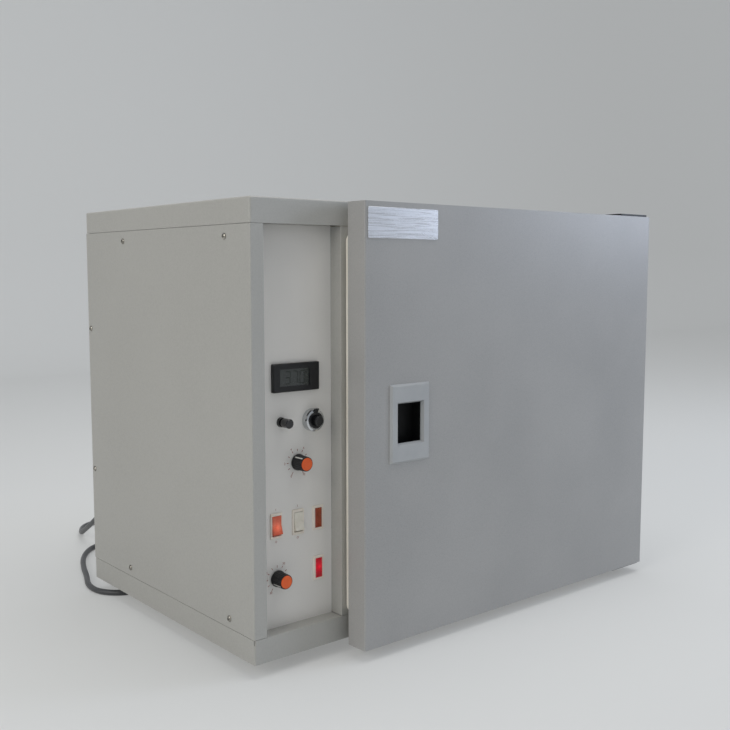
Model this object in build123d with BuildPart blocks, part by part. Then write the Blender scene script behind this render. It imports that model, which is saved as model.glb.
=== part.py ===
"""Bench hybridization oven: an insulated chamber with a bottle reel, beside a narrow control column.

Millimetres, +Z up. The front faces -Y. The origin is on the bench, under the middle of the oven.
"""

import os
from math import cos, pi, radians, sin, tan

from build123d import *

os.makedirs("parts", exist_ok=True)

# Cabinet
cabinet_width = 540.0
cabinet_depth = 335.0
cabinet_height = 420.0
foot_height = 14.0
foot_radius = 15.0
foot_inset_x = 62.0
foot_inset_front = 52.0
foot_inset_rear = 73.0
sheet = 1.5
seam = 0.4
skirt_height = 23.0
tab_height = 19.0
tab_overlap = 3.0
front_tab_height = 10.0
tab_inset = 25.0
corner_radius = 2.0

# Control column
strip_width = 14.3
control_width = 100.5
recess_depth = 16.0
film = 0.5
panel_thickness = 1.5
panel_margin = 6.0
return_depth = 20.0

# Chamber
chamber_inset_left = 130.0
chamber_inset_right = 30.0
chamber_floor = 48.0
chamber_headroom = 48.0
chamber_rear_space = 65.0
liner_wall = 1.2
liner_flange = 12.0
insulation_thickness = 24.0
insulation_rear_thickness = 26.5
soft_gap = 0.3
front_flange_width = 12.0

# Door
door_inset_left = 100.3
door_overhang_right = 3.0
door_drop = 1.9
door_top_gap = 1.4
door_gap = 10.5
door_thickness = 24.4
door_edge_radius = 1.5
gasket_width = 9.0
gasket_inset_left = 3.7
gasket_inset_right = 19.0
gasket_inset_z = 28.0
gasket_corner = 8.0
hinge_from_right = 8.0
hinge_pin_radius = 3.0
hinge_plate = 2.0
running_gap = 0.05
contact_gap = 0.3

# Door pull, measured from the door's left edge and the cabinet's base
pull_width = 50.5
pull_height = 75.7
pull_from_left = 30.2
pull_base = 173.0
pull_proud = 2.5
pull_mouth_width = 31.1
pull_mouth_height = 38.0
pull_depth = 17.0
pull_wall = 1.5

# Instruments: centres measured from the cabinet's left face and its base
display_centre = (57.7, 257.5)
display_size = (52.4, 26.4)
display_body = (48.0, 22.4)
display_window = (33.4, 16.1)
display_proud = 4.0
button_centre = (42.0, 216.5)
dial_centre = (77.0, 215.5)
speed_centre = (60.5, 177.0)
cutout_centre = (36.4, 70.0)
power_switch_centre = (35.4, 120.0)
rotation_switch_centre = (60.2, 120.0)
heat_lamp_centre = (83.7, 120.3)
cutout_lamp_centre = (84.0, 71.1)
switch_size = (13.0, 24.0)
switch_body = (11.6, 20.8)
switch_mouth = (10.2, 19.2)
switch_depth = 14.0
switch_bezel = 1.6
lamp_size = (12.8, 23.5)
lamp_body = (10.8, 20.4)
lamp_lens = (7.6, 19.1)
lamp_bezel = 1.2
fit_gap = 0.2

# Reel and fan
reel_radius = 106.0
reel_from_front = 116.0
reel_end_gap = 22.0
reel_plate = 1.5
bottle_pitch_radius = 70.0
clip_inner_radius = 19.0
clip_thickness = 0.8
clip_width = 14.0
fan_radius = 60.0
baffle_depth = 36.0

# Cord
cord_diameter = 6.6
cord_coil_diameter = 74.0

# Fasteners
screw_radius = 1.5
screw_hole_radius = 1.7
screw_head_radius = 3.0
screw_head_height = 1.8
screw_length = 4.0
side_screw_from_front = 42.0
side_screw_from_rear = 91.0
screw_from_base = 32.5
screw_from_top = 33.8
edge_screw_from_rear = 6.0
edge_screw_from_base = 128.7
edge_screw_from_top = 130.0
rear_screw_inset = 60.0
rear_screw_count = 4

# Planes of the cabinet, from its left, front and bottom faces
side_reach = screw_head_height
front_reach = door_gap + door_thickness + pull_proud
rear_reach = screw_head_height
left_x = side_reach - (side_reach + cabinet_width + door_overhang_right) / 2
right_x = left_x + cabinet_width
front_y = front_reach - (front_reach + cabinet_depth + rear_reach) / 2
rear_y = front_y + cabinet_depth
base_z = foot_height
top_z = base_z + cabinet_height

skirt_top = base_z + skirt_height
cap_bottom = top_z - skirt_height
wall_bottom = skirt_top + seam
wall_top = cap_bottom - seam
wall_height = wall_top - wall_bottom

film_y = front_y + recess_depth
panel_y = film_y + film
panel_back = panel_y + panel_thickness
recess_left = left_x + strip_width
recess_right = left_x + control_width
bulkhead_left = recess_right + sheet
bulkhead_right = bulkhead_left + sheet

chamber_left = left_x + chamber_inset_left
chamber_right = right_x - chamber_inset_right
chamber_bottom = base_z + chamber_floor
chamber_top = top_z - chamber_headroom
chamber_front = front_y + sheet
chamber_rear = rear_y - chamber_rear_space
chamber_width = chamber_right - chamber_left
chamber_height = chamber_top - chamber_bottom
chamber_x = (chamber_left + chamber_right) / 2
chamber_z = (chamber_bottom + chamber_top) / 2
liner_back = chamber_rear + liner_wall
insulation_back = liner_back + soft_gap + insulation_rear_thickness

reel_y = front_y + reel_from_front
reel_z = chamber_z

door_left = left_x + door_inset_left
door_right = right_x + door_overhang_right
door_bottom = base_z - door_drop
door_top = top_z - door_top_gap
door_width = door_right - door_left
door_height = door_top - door_bottom
door_x = (door_left + door_right) / 2
door_z = (door_bottom + door_top) / 2
door_back = front_y - door_gap
door_front = door_back - door_thickness
hinge_x = right_x - hinge_from_right + door_overhang_right
hinge_y = door_back - door_thickness / 2


def facing_front(y, x=0.0, z=0.0):
    """Plane across the depth: sketch X is +X, sketch Y is +Z, and its normal points to the front."""
    return Plane(origin=(x, y, z), x_dir=(1, 0, 0), z_dir=(0, -1, 0))


def facing_right(x, y=0.0, z=0.0):
    """Plane across the width: sketch X is +Y, sketch Y is +Z, and its normal points to the right."""
    return Plane(origin=(x, y, z), x_dir=(0, 1, 0), z_dir=(1, 0, 0))


def facing_left(x, y=0.0, z=0.0):
    """Plane across the width with its normal to the left: sketch X is -Y, sketch Y is +Z."""
    return Plane(origin=(x, y, z), x_dir=(0, -1, 0), z_dir=(-1, 0, 0))


def on_panel(centre):
    """Turns a place measured from the cabinet's left face and base into a place in the model."""
    return (left_x + centre[0], base_z + centre[1])


def save(piece, label):
    """Labels a finished piece and writes its STEP file."""
    piece.part.label = label
    export_step(piece.part, f"parts/{label}.step")


def save_group(pieces, label):
    """Writes several finished pieces as one node whose solids stay separate."""
    group = Compound([solid for piece in pieces for solid in piece.part.solids()])
    group.label = label
    export_step(group, f"parts/{label}.step")


def add_pan_screw(seat, length=screw_length):
    """Adds a pan-head screw whose head sits on the plane seat, its dome towards the plane's normal."""
    turned(
        seat,
        [
            (0, screw_head_height),
            (0, -length),
            (screw_radius, -length),
            (screw_radius, 0),
            (screw_head_radius, 0),
            (screw_head_radius, screw_head_height / 2),
            (screw_head_radius * 0.7, screw_head_height * 0.9),
        ],
    )


def drill(seat, radius, depth):
    """Cuts a round hole from the plane seat against its normal."""
    with BuildSketch(seat) as disc:
        Circle(radius)
    extrude(disc.sketch, amount=-depth, mode=Mode.SUBTRACT)


def turned(seat, outline):
    """Adds a solid turned about the normal of the plane seat, from its (radius, height) outline."""
    side = Plane(origin=seat.origin, x_dir=seat.x_dir, z_dir=seat.x_dir.cross(seat.z_dir))
    with BuildSketch(side) as half:
        with BuildLine():
            Polyline(*outline, close=True)
        make_face()
    revolve(half.sketch, axis=Axis(seat.origin, seat.z_dir))


# Screw places: on the side panels (y, z), on the rear panel and cover (x, z)
low_screw_z = base_z + screw_from_base
high_screw_z = top_z - screw_from_top
side_screw_y = [front_y + side_screw_from_front, rear_y - side_screw_from_rear]
side_screws_low = [(y, low_screw_z) for y in side_screw_y]
side_screws_high = [(y, high_screw_z) for y in side_screw_y]
edge_screw_z = [base_z + edge_screw_from_base, top_z - edge_screw_from_top]
side_screws_rear = [(rear_y - edge_screw_from_rear, z) for z in edge_screw_z]
side_screws = side_screws_low + side_screws_high + side_screws_rear
rear_screw_pitch = (cabinet_width - 2 * rear_screw_inset) / (rear_screw_count - 1)
rear_screw_x = [left_x + rear_screw_inset + rear_screw_pitch * i for i in range(rear_screw_count)]
rear_screws_low = [(x, low_screw_z) for x in rear_screw_x]
rear_screws_high = [(x, high_screw_z) for x in rear_screw_x]


def side_seats(places, reach=0.0):
    """Planes on the outer faces of both side panels at the places given, moved outwards by reach."""
    seats = [facing_left(left_x - reach, y, z) for y, z in places]
    return seats + [facing_right(right_x + reach, y, z) for y, z in places]


def rear_seats(places):
    """Planes on the rear panel's outer face."""
    return [Plane(origin=(x, rear_y, z), x_dir=(1, 0, 0), z_dir=(0, 1, 0)) for x, z in places]


def add_tabs(seam_z, upward, places):
    """Adds the joggled tabs inside a pan's skirts, which the side, rear and front sheets lie against."""
    front_left = recess_right + tab_inset / 2
    front_right = right_x - tab_inset
    start = Plane.XY.offset(seam_z - upward * tab_overlap)
    with BuildSketch(start) as strips:
        for x in (left_x + 1.5 * sheet, right_x - 1.5 * sheet):
            with Locations((x, (front_y + rear_y) / 2)):
                Rectangle(sheet, cabinet_depth - 2 * tab_inset)
        with Locations(((left_x + right_x) / 2, rear_y - 1.5 * sheet)):
            Rectangle(cabinet_width - 2 * tab_inset, sheet)
    extrude(strips.sketch, amount=upward * (tab_height + tab_overlap))
    with BuildSketch(start) as front_strip:
        with Locations(((front_left + front_right) / 2, front_y + 1.5 * sheet)):
            Rectangle(front_right - front_left, sheet)
    extrude(front_strip.sketch, amount=upward * (front_tab_height + tab_overlap))
    for seat in side_seats(places) + rear_seats([(x, places[0][1]) for x in rear_screw_x]):
        drill(seat, screw_hole_radius, 3 * sheet)


foot_places = [
    (left_x + foot_inset_x, front_y + foot_inset_front),
    (right_x - foot_inset_x, front_y + foot_inset_front),
    (left_x + foot_inset_x, rear_y - foot_inset_rear),
    (right_x - foot_inset_x, rear_y - foot_inset_rear),
]
hinge_bracket_width = 50.0
hinge_bracket_x = right_x + hinge_plate - hinge_bracket_width / 2
upper_hinge_screw_z = top_z - 12.0
lower_hinge_screw_z = base_z + 11.0


def hinge_screw_seats(z):
    """Planes for the two screws of a hinge bracket, on the outside of its upright leg."""
    places = (hinge_bracket_x - 14.0, hinge_bracket_x + 14.0)
    return [facing_front(front_y - hinge_plate, x, z) for x in places]


gland_place = (left_x + 60.0, base_z + 64.0)
gland_hole_radius = 6.0
vent_width = 44.0
vent_height = 4.0
vent_pitch = 12.0
vent_rows = 9

# Base tray: floor, skirts, the ledge under the control recess and the joggled tabs
with BuildPart() as base_tray:
    with BuildSketch(Plane.XY.offset(base_z)):
        with Locations(((left_x + right_x) / 2, (front_y + rear_y) / 2)):
            RectangleRounded(cabinet_width, cabinet_depth, corner_radius)
    extrude(amount=skirt_height)
    with BuildSketch(Plane.XY.offset(base_z + sheet)):
        with Locations(((left_x + right_x) / 2, (front_y + rear_y) / 2)):
            RectangleRounded(cabinet_width - 2 * sheet, cabinet_depth - 2 * sheet, corner_radius - sheet)
    extrude(amount=skirt_height, mode=Mode.SUBTRACT)
    add_tabs(skirt_top, 1, side_screws_low)
    with BuildSketch(Plane.XY.offset(skirt_top)):
        with Locations(((recess_left + recess_right) / 2, (front_y + film_y) / 2)):
            Rectangle(recess_right - recess_left, film_y - front_y)
    extrude(amount=-sheet)
    relief = 4.5
    with BuildSketch(Plane.XY.offset(skirt_top)):
        with Locations((left_x, front_y)):
            Rectangle(2 * sheet, 2 * sheet)
    extrude(amount=-relief, mode=Mode.SUBTRACT)
    for x, y in foot_places:
        drill(Plane(origin=(x, y, base_z + sheet)), screw_hole_radius, 2 * sheet)
    for seat in hinge_screw_seats(lower_hinge_screw_z):
        drill(seat, screw_hole_radius, 3 * sheet)
    with BuildSketch(Plane.XY.offset(base_z + sheet)):
        with Locations((left_x + control_width / 2, front_y + cabinet_depth / 2)):
            with GridLocations(0, vent_pitch, 1, 6):
                SlotOverall(vent_width, vent_height)
    extrude(amount=-2 * sheet, mode=Mode.SUBTRACT)
save(base_tray, "base_tray")

# Top cover: the cap with its skirt and the same joggled tabs
with BuildPart() as top_cover:
    with BuildSketch(Plane.XY.offset(cap_bottom)):
        with Locations(((left_x + right_x) / 2, (front_y + rear_y) / 2)):
            RectangleRounded(cabinet_width, cabinet_depth, corner_radius)
    extrude(amount=skirt_height)
    fillet(top_cover.faces().sort_by(Axis.Z)[-1].edges(), corner_radius - 0.2)
    with BuildSketch(Plane.XY.offset(cap_bottom)):
        with Locations(((left_x + right_x) / 2, (front_y + rear_y) / 2)):
            RectangleRounded(cabinet_width - 2 * sheet, cabinet_depth - 2 * sheet, corner_radius - sheet)
    extrude(amount=skirt_height - sheet, mode=Mode.SUBTRACT)
    add_tabs(cap_bottom, -1, side_screws_high)
    for seat in hinge_screw_seats(upper_hinge_screw_z):
        drill(seat, screw_hole_radius, 3 * sheet)
save(top_cover, "top_cover")

# Left side panel: side, front strip and the return that walls the control recess
with BuildPart() as left_side_panel:
    with BuildSketch(Plane.XY.offset(wall_bottom)):
        with BuildLine():
            Polyline(
                (left_x, front_y),
                (recess_left, front_y),
                (recess_left, panel_y),
                (recess_left - sheet, panel_y),
                (recess_left - sheet, front_y + sheet),
                (left_x + sheet, front_y + sheet),
                (left_x + sheet, rear_y),
                (left_x, rear_y),
                close=True,
            )
        make_face()
    extrude(amount=wall_height)
    outer_edges = left_side_panel.edges().filter_by(Axis.Z)
    fillet(outer_edges.filter_by_position(Axis.Y, front_y - 0.1, front_y + 0.1), sheet * 0.7)
    for seat in side_seats(side_screws):
        drill(seat, screw_hole_radius, 2 * sheet)
save(left_side_panel, "left_side_panel")

# Right side panel: side and front flange
with BuildPart() as right_side_panel:
    with BuildSketch(Plane.XY.offset(wall_bottom)):
        with BuildLine():
            Polyline(
                (right_x, front_y),
                (right_x - front_flange_width, front_y),
                (right_x - front_flange_width, front_y + sheet),
                (right_x - sheet, front_y + sheet),
                (right_x - sheet, rear_y),
                (right_x, rear_y),
                close=True,
            )
        make_face()
    extrude(amount=wall_height)
    upright_edges = right_side_panel.edges().filter_by(Axis.Z)
    outer_edges = upright_edges.filter_by_position(Axis.X, right_x - 0.1, right_x + 0.1)
    fillet(outer_edges.sort_by(Axis.Y)[0], sheet * 0.7)
    for seat in side_seats(side_screws):
        drill(seat, screw_hole_radius, 2 * sheet)
save(right_side_panel, "right_side_panel")

# Rear panel: flanges that the side panels are screwed to, vents and the gland's hole
rear_flange = 14.0
with BuildPart() as rear_panel:
    with BuildSketch(Plane.XY.offset(wall_bottom)):
        with BuildLine():
            Polyline(
                (left_x + sheet, rear_y),
                (left_x + sheet, rear_y - rear_flange),
                (left_x + 2 * sheet, rear_y - rear_flange),
                (left_x + 2 * sheet, rear_y - sheet),
                (right_x - 2 * sheet, rear_y - sheet),
                (right_x - 2 * sheet, rear_y - rear_flange),
                (right_x - sheet, rear_y - rear_flange),
                (right_x - sheet, rear_y),
                close=True,
            )
        make_face()
    extrude(amount=wall_height)
    with BuildSketch(facing_front(rear_y)):
        with Locations((left_x + control_width / 2 + 8.0, base_z + 0.68 * cabinet_height)):
            with GridLocations(0, vent_pitch, 1, vent_rows):
                SlotOverall(vent_width, vent_height)
        with Locations((chamber_x, chamber_z)):
            with GridLocations(vent_width * 1.3, vent_pitch, 2, vent_rows):
                SlotOverall(vent_width, vent_height)
    extrude(amount=sheet * 2, both=True, mode=Mode.SUBTRACT)
    for seat in rear_seats([gland_place]):
        drill(seat, gland_hole_radius, 2 * sheet)
    for seat in rear_seats(rear_screws_low + rear_screws_high):
        drill(seat, screw_hole_radius, 2 * sheet)
    for seat in side_seats(side_screws_rear):
        drill(seat, screw_hole_radius, 3 * sheet)
save(rear_panel, "rear_panel")

# Feet: moulded rubber with a recess for the screw
with BuildPart() as feet:
    for x, y in foot_places:
        seat = Plane(origin=(x, y, 0), x_dir=(1, 0, 0), z_dir=(0, 0, 1))
        turned(
            seat,
            [
                (screw_hole_radius, foot_height),
                (foot_radius, foot_height),
                (foot_radius - 2.0, 1.0),
                (foot_radius - 3.0, 0),
                (5.0, 0),
                (5.0, foot_height - 5.0),
                (screw_hole_radius, foot_height - 5.0),
            ],
        )
save(feet, "feet")

# Screws of the panels, the feet and the hinge brackets
with BuildPart() as cabinet_screws:
    for seat in side_seats(side_screws) + rear_seats(rear_screws_low + rear_screws_high):
        add_pan_screw(seat)
    for x, y in foot_places:
        seat = Plane(origin=(x, y, foot_height - 5.0), x_dir=(1, 0, 0), z_dir=(0, 0, -1))
        add_pan_screw(seat, foot_height - 5.0)
    for seat in hinge_screw_seats(upper_hinge_screw_z) + hinge_screw_seats(lower_hinge_screw_z):
        add_pan_screw(seat, hinge_plate + 2 * sheet + 1.0)
save(cabinet_screws, "cabinet_screws")

# Chamber front frame: the door closes on it, and its left edge turns back as the recess's right wall
frame_right = right_x - front_flange_width - seam
with BuildPart() as chamber_front_frame:
    with BuildSketch(Plane.XY.offset(wall_bottom)):
        with BuildLine():
            Polyline(
                (recess_right, front_y),
                (frame_right, front_y),
                (frame_right, front_y + sheet),
                (bulkhead_left, front_y + sheet),
                (bulkhead_left, front_y + return_depth),
                (recess_right, front_y + return_depth),
                close=True,
            )
        make_face()
    extrude(amount=wall_height)
    with BuildSketch(facing_front(front_y)):
        with Locations((chamber_x, chamber_z)):
            Rectangle(chamber_width, chamber_height)
    extrude(amount=sheet * 2, both=True, mode=Mode.SUBTRACT)
save(chamber_front_frame, "chamber_front_frame")

# Bulkhead between the control column and the chamber's insulation
drive_hole_radius = 10.0
bulkhead_foot = 12.0
with BuildPart() as bulkhead:
    with BuildSketch(facing_front(front_y + 2 * sheet)):
        with BuildLine():
            Polyline(
                (bulkhead_left, wall_top),
                (bulkhead_left, base_z + 2 * sheet),
                (bulkhead_left - bulkhead_foot, base_z + 2 * sheet),
                (bulkhead_left - bulkhead_foot, base_z + sheet),
                (bulkhead_right, base_z + sheet),
                (bulkhead_right, wall_top),
                close=True,
            )
        make_face()
    extrude(amount=-(cabinet_depth - rear_flange - 4 * sheet))
    drill(facing_right(bulkhead_right, reel_y, reel_z), drive_hole_radius, 2 * sheet)
    with BuildSketch(Plane.XY.offset(base_z)):
        with Locations((bulkhead_left - bulkhead_foot / 2, panel_back / 2 + front_y / 2)):
            Rectangle(bulkhead_foot, 2 * (panel_back - front_y))
    extrude(amount=3 * sheet, mode=Mode.SUBTRACT)
save(bulkhead, "bulkhead")

# Chamber liner: one folded box with a flange behind the front frame
shaft_hole_radius = 6.0
heater_ring_radius = 76.0
heater_tube_radius = 3.2
heater_bend = 9.0
heater_gap_angle = radians(16.0)
heater_ring_end = (heater_ring_radius * sin(heater_gap_angle), heater_ring_radius * cos(heater_gap_angle))
heater_leg = (
    heater_ring_end[0] - heater_bend * cos(heater_gap_angle),
    heater_ring_end[1] + heater_bend * sin(heater_gap_angle),
)
heater_places = [(chamber_x + side * heater_leg[0], chamber_z - heater_leg[1]) for side in (-1, 1)]
probe_place = (chamber_left + 24.0, chamber_top - 11.0)
pillar_radius = 3.0
pillar_pitch = 64.0
pillar_places = [
    (chamber_x + i * pillar_pitch / 2, chamber_z + j * pillar_pitch / 2) for i in (-1, 1) for j in (-1, 1)
]
probe_radius = 2.5
with BuildPart() as chamber_liner:
    with BuildSketch(facing_front(chamber_front)):
        with Locations((chamber_x, chamber_z)):
            Rectangle(chamber_width + 2 * liner_wall, chamber_height + 2 * liner_wall)
    extrude(amount=-(liner_back - chamber_front))
    with BuildSketch(facing_front(chamber_front)):
        with Locations((chamber_x, chamber_z)):
            Rectangle(chamber_width + 2 * liner_flange, chamber_height + 2 * liner_flange)
    extrude(amount=-liner_wall)
    with BuildSketch(facing_front(chamber_front)):
        with Locations((chamber_x, chamber_z)):
            Rectangle(chamber_width, chamber_height)
    extrude(amount=-(chamber_rear - chamber_front), mode=Mode.SUBTRACT)
    drill(facing_front(chamber_rear, chamber_x, chamber_z), shaft_hole_radius, 2 * liner_wall)
    for x, z in heater_places:
        drill(facing_front(chamber_rear, x, z), heater_tube_radius + fit_gap, 2 * liner_wall)
    drill(facing_front(chamber_rear, *probe_place), probe_radius + fit_gap, 2 * liner_wall)
    drill(facing_right(chamber_left, reel_y, reel_z), drive_hole_radius, 2 * liner_wall)
    drill(facing_left(chamber_right, reel_y, reel_z), screw_hole_radius, 2 * liner_wall)
save(chamber_liner, "chamber_liner")

# Insulation wrapped round the liner
insulation_left = bulkhead_right + soft_gap
insulation_right = chamber_right + liner_wall + soft_gap + insulation_thickness
insulation_bottom = chamber_bottom - liner_wall - soft_gap - insulation_thickness
insulation_top = chamber_top + liner_wall + soft_gap + insulation_thickness
insulation_front = chamber_front + liner_wall + soft_gap
with BuildPart() as insulation:
    with BuildSketch(facing_front(insulation_front)):
        with Locations(((insulation_left + insulation_right) / 2, (insulation_bottom + insulation_top) / 2)):
            Rectangle(insulation_right - insulation_left, insulation_top - insulation_bottom)
    extrude(amount=-(insulation_back - insulation_front))
    with BuildSketch(facing_front(insulation_front)):
        with Locations((chamber_x, chamber_z)):
            Rectangle(
                chamber_width + 2 * (liner_wall + soft_gap),
                chamber_height + 2 * (liner_wall + soft_gap),
            )
    extrude(amount=-(liner_back + soft_gap - insulation_front), mode=Mode.SUBTRACT)
    drill(facing_front(liner_back, chamber_x, chamber_z), shaft_hole_radius, 2 * insulation_rear_thickness)
    for x, z in heater_places:
        drill(facing_front(liner_back, x, z), heater_tube_radius + fit_gap, 2 * insulation_rear_thickness)
    drill(facing_front(liner_back, *probe_place), probe_radius + fit_gap, 2 * insulation_rear_thickness)
    for x, z in pillar_places:
        drill(facing_front(liner_back, x, z), pillar_radius, 2 * insulation_rear_thickness)
    drill(facing_right(chamber_left, reel_y, reel_z), drive_hole_radius, 2 * insulation_thickness)
save(insulation, "insulation")

# Two folded rails on the base that carry the insulated chamber
rail_width = 24.0
with BuildPart() as chamber_rails:
    for x in (chamber_left + 30.0, chamber_right - 30.0):
        with BuildSketch(facing_front(insulation_front)):
            with BuildLine():
                Polyline(
                    (x - rail_width, base_z + sheet),
                    (x - rail_width / 2, base_z + sheet),
                    (x - rail_width / 2, insulation_bottom - sheet),
                    (x + rail_width / 2, insulation_bottom - sheet),
                    (x + rail_width / 2, base_z + sheet),
                    (x + rail_width, base_z + sheet),
                    (x + rail_width, base_z + 2 * sheet),
                    (x + rail_width / 2 + sheet, base_z + 2 * sheet),
                    (x + rail_width / 2 + sheet, insulation_bottom),
                    (x - rail_width / 2 - sheet, insulation_bottom),
                    (x - rail_width / 2 - sheet, base_z + 2 * sheet),
                    (x - rail_width, base_z + 2 * sheet),
                    close=True,
                )
            make_face()
        extrude(amount=-(insulation_back - insulation_front))
save(chamber_rails, "chamber_rails")

# Control fascia: a steel panel with a printed film on its face, both cut out for the instruments
bush_radius = 3.5
dial_bush_radius = 4.5
button_bush_radius = 4.0


def cut_instrument_holes(plane, depth):
    """Cuts the openings that the instruments pass through, from the plane given against its normal."""
    with BuildSketch(plane) as openings:
        with Locations(on_panel(display_centre)):
            Rectangle(display_body[0] + fit_gap, display_body[1] + fit_gap)
        with Locations(on_panel(power_switch_centre), on_panel(rotation_switch_centre)):
            Rectangle(switch_body[0] + fit_gap, switch_body[1] + fit_gap)
        with Locations(on_panel(heat_lamp_centre), on_panel(cutout_lamp_centre)):
            Rectangle(lamp_body[0] + fit_gap, lamp_body[1] + fit_gap)
        with Locations(on_panel(speed_centre), on_panel(cutout_centre)):
            Circle(bush_radius + fit_gap / 2)
        with Locations(on_panel(dial_centre)):
            Circle(dial_bush_radius + fit_gap / 2)
        with Locations(on_panel(button_centre)):
            Circle(button_bush_radius + fit_gap / 2)
    extrude(openings.sketch, amount=-depth, mode=Mode.SUBTRACT)


with BuildPart() as fascia_plate:
    with BuildSketch(facing_front(panel_y)):
        with Locations(((recess_left - panel_margin + recess_right) / 2, base_z + cabinet_height / 2)):
            Rectangle(recess_right - recess_left + panel_margin, cabinet_height - 4 * panel_margin)
    extrude(amount=-panel_thickness)
    cut_instrument_holes(facing_front(panel_y), 2 * panel_thickness)

with BuildPart() as fascia_film:
    with BuildSketch(facing_front(film_y)):
        with Locations(((recess_left + recess_right) / 2, base_z + cabinet_height / 2)):
            Rectangle(recess_right - recess_left - fit_gap, wall_height + 2 * seam)
    extrude(amount=-film)
    cut_instrument_holes(facing_front(film_y), 2 * film)
save_group([fascia_plate, fascia_film], "fascia_panel")

# Digital display: bezel with its snap-in case, window, display glass and board
bezel_wall = 1.4
display_case_depth = 20.0
window_lip = 1.5
window_thickness = 1.0
window_offset = -2.2
display_x, display_z = on_panel(display_centre)
display_face = film_y - display_proud
window_front = display_face + bezel_wall
with BuildPart() as display_bezel:
    with BuildSketch(facing_front(display_face)):
        with Locations((display_x, display_z)):
            RectangleRounded(*display_size, 1.0)
    extrude(amount=-display_proud)
    chamfer(display_bezel.faces().sort_by(Axis.Y)[0].edges(), 0.8)
    with BuildSketch(facing_front(film_y)):
        with Locations((display_x, display_z)):
            Rectangle(*display_body)
    extrude(amount=-display_case_depth)
    with BuildSketch(facing_front(window_front)):
        with Locations((display_x, display_z)):
            Rectangle(display_body[0] - 2 * bezel_wall, display_body[1] - 2 * bezel_wall)
    extrude(amount=-(display_case_depth + display_proud), mode=Mode.SUBTRACT)
    with BuildSketch(facing_front(display_face)):
        with Locations((display_x + window_offset, display_z)):
            Rectangle(*display_window)
    extrude(amount=-2 * bezel_wall, mode=Mode.SUBTRACT)
save(display_bezel, "display_bezel")

with BuildPart() as display_window_pane:
    with BuildSketch(facing_front(window_front)):
        with Locations((display_x, display_z)):
            Rectangle(display_body[0] - 2 * bezel_wall - fit_gap, display_window[1] + 2 * window_lip)
    extrude(amount=-window_thickness)
save(display_window_pane, "display_window")

glass_thickness = 2.8
with BuildPart() as display_glass:
    with BuildSketch(facing_front(window_front + window_thickness)):
        with Locations((display_x, display_z)):
            Rectangle(display_body[0] - 4 * bezel_wall, display_window[1] + 2 * window_lip)
    extrude(amount=-glass_thickness)

board_thickness = 1.6
with BuildPart() as display_board:
    with BuildSketch(facing_front(window_front + window_thickness + glass_thickness)):
        with Locations((display_x, display_z)):
            Rectangle(display_body[0] - 2 * bezel_wall - fit_gap, display_body[1] - 2 * bezel_wall - fit_gap)
    extrude(amount=-board_thickness)
save_group([display_glass, display_board], "display_module")

# Rocker switches: a body with a bezel, and a rocker on a pivot across it
pivot_depth = 3.5
rocker_tilt = 9.0
rocker_reach = 5.4
rocker_valley = 3.9
rocker_half_height = 8.6
rocker_side_gap = 0.25


def make_switch(centre, label):
    """Makes a rocker, at rest with its upper half pressed in, and returns the switch body."""
    x, z = on_panel(centre)
    bezel_front = film_y - switch_bezel
    with BuildPart() as body:
        with BuildSketch(facing_front(film_y)):
            with Locations((x, z)):
                RectangleRounded(*switch_size, 0.8)
        extrude(amount=switch_bezel)
        chamfer(body.faces().sort_by(Axis.Y)[0].edges(), 0.4)
        with BuildSketch(facing_front(film_y)):
            with Locations((x, z)):
                Rectangle(*switch_body)
        extrude(amount=-switch_depth)
        with BuildSketch(facing_front(bezel_front)):
            with Locations((x, z)):
                Rectangle(*switch_mouth)
        extrude(amount=-(pivot_depth + rocker_half_height), mode=Mode.SUBTRACT)
        with BuildSketch(facing_front(film_y + switch_depth)):
            with Locations((x, z)):
                with GridLocations(0, switch_body[1] * 0.4, 1, 2):
                    Rectangle(switch_body[0] * 0.4, 0.8)
        extrude(amount=-7.0)

    lean = radians(rocker_tilt)
    tilted = Plane(
        origin=(x - switch_mouth[0] / 2 + rocker_side_gap, bezel_front + pivot_depth, z),
        x_dir=(0, cos(lean), -sin(lean)),
        z_dir=(1, 0, 0),
    )
    with BuildPart() as rocker:
        with BuildSketch(tilted):
            with BuildLine():
                Polyline(
                    (-rocker_reach, rocker_half_height),
                    (-rocker_valley, 0),
                    (-rocker_reach, -rocker_half_height),
                    (0, -rocker_half_height - 0.5),
                    (2.5, -rocker_half_height + 1.5),
                    (4.0, 0),
                    (2.5, rocker_half_height - 1.5),
                    (0, rocker_half_height + 0.5),
                    close=True,
                )
            make_face()
            fillet(vertices().sort_by(Axis.X)[:2], 0.6)
        extrude(amount=switch_mouth[0] - 2 * rocker_side_gap)
    save(rocker, label + "_rocker")
    return body


power_body = make_switch(power_switch_centre, "power_switch")
rotation_body = make_switch(rotation_switch_centre, "rotation_switch")
save_group([power_body, rotation_body], "switch_bodies")

# Neon lamps: a pale body with a bezel, and a lens that stands a little proud of it
lamp_depth = 16.0
lens_seat = 4.0
lens_proud = 0.8


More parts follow.
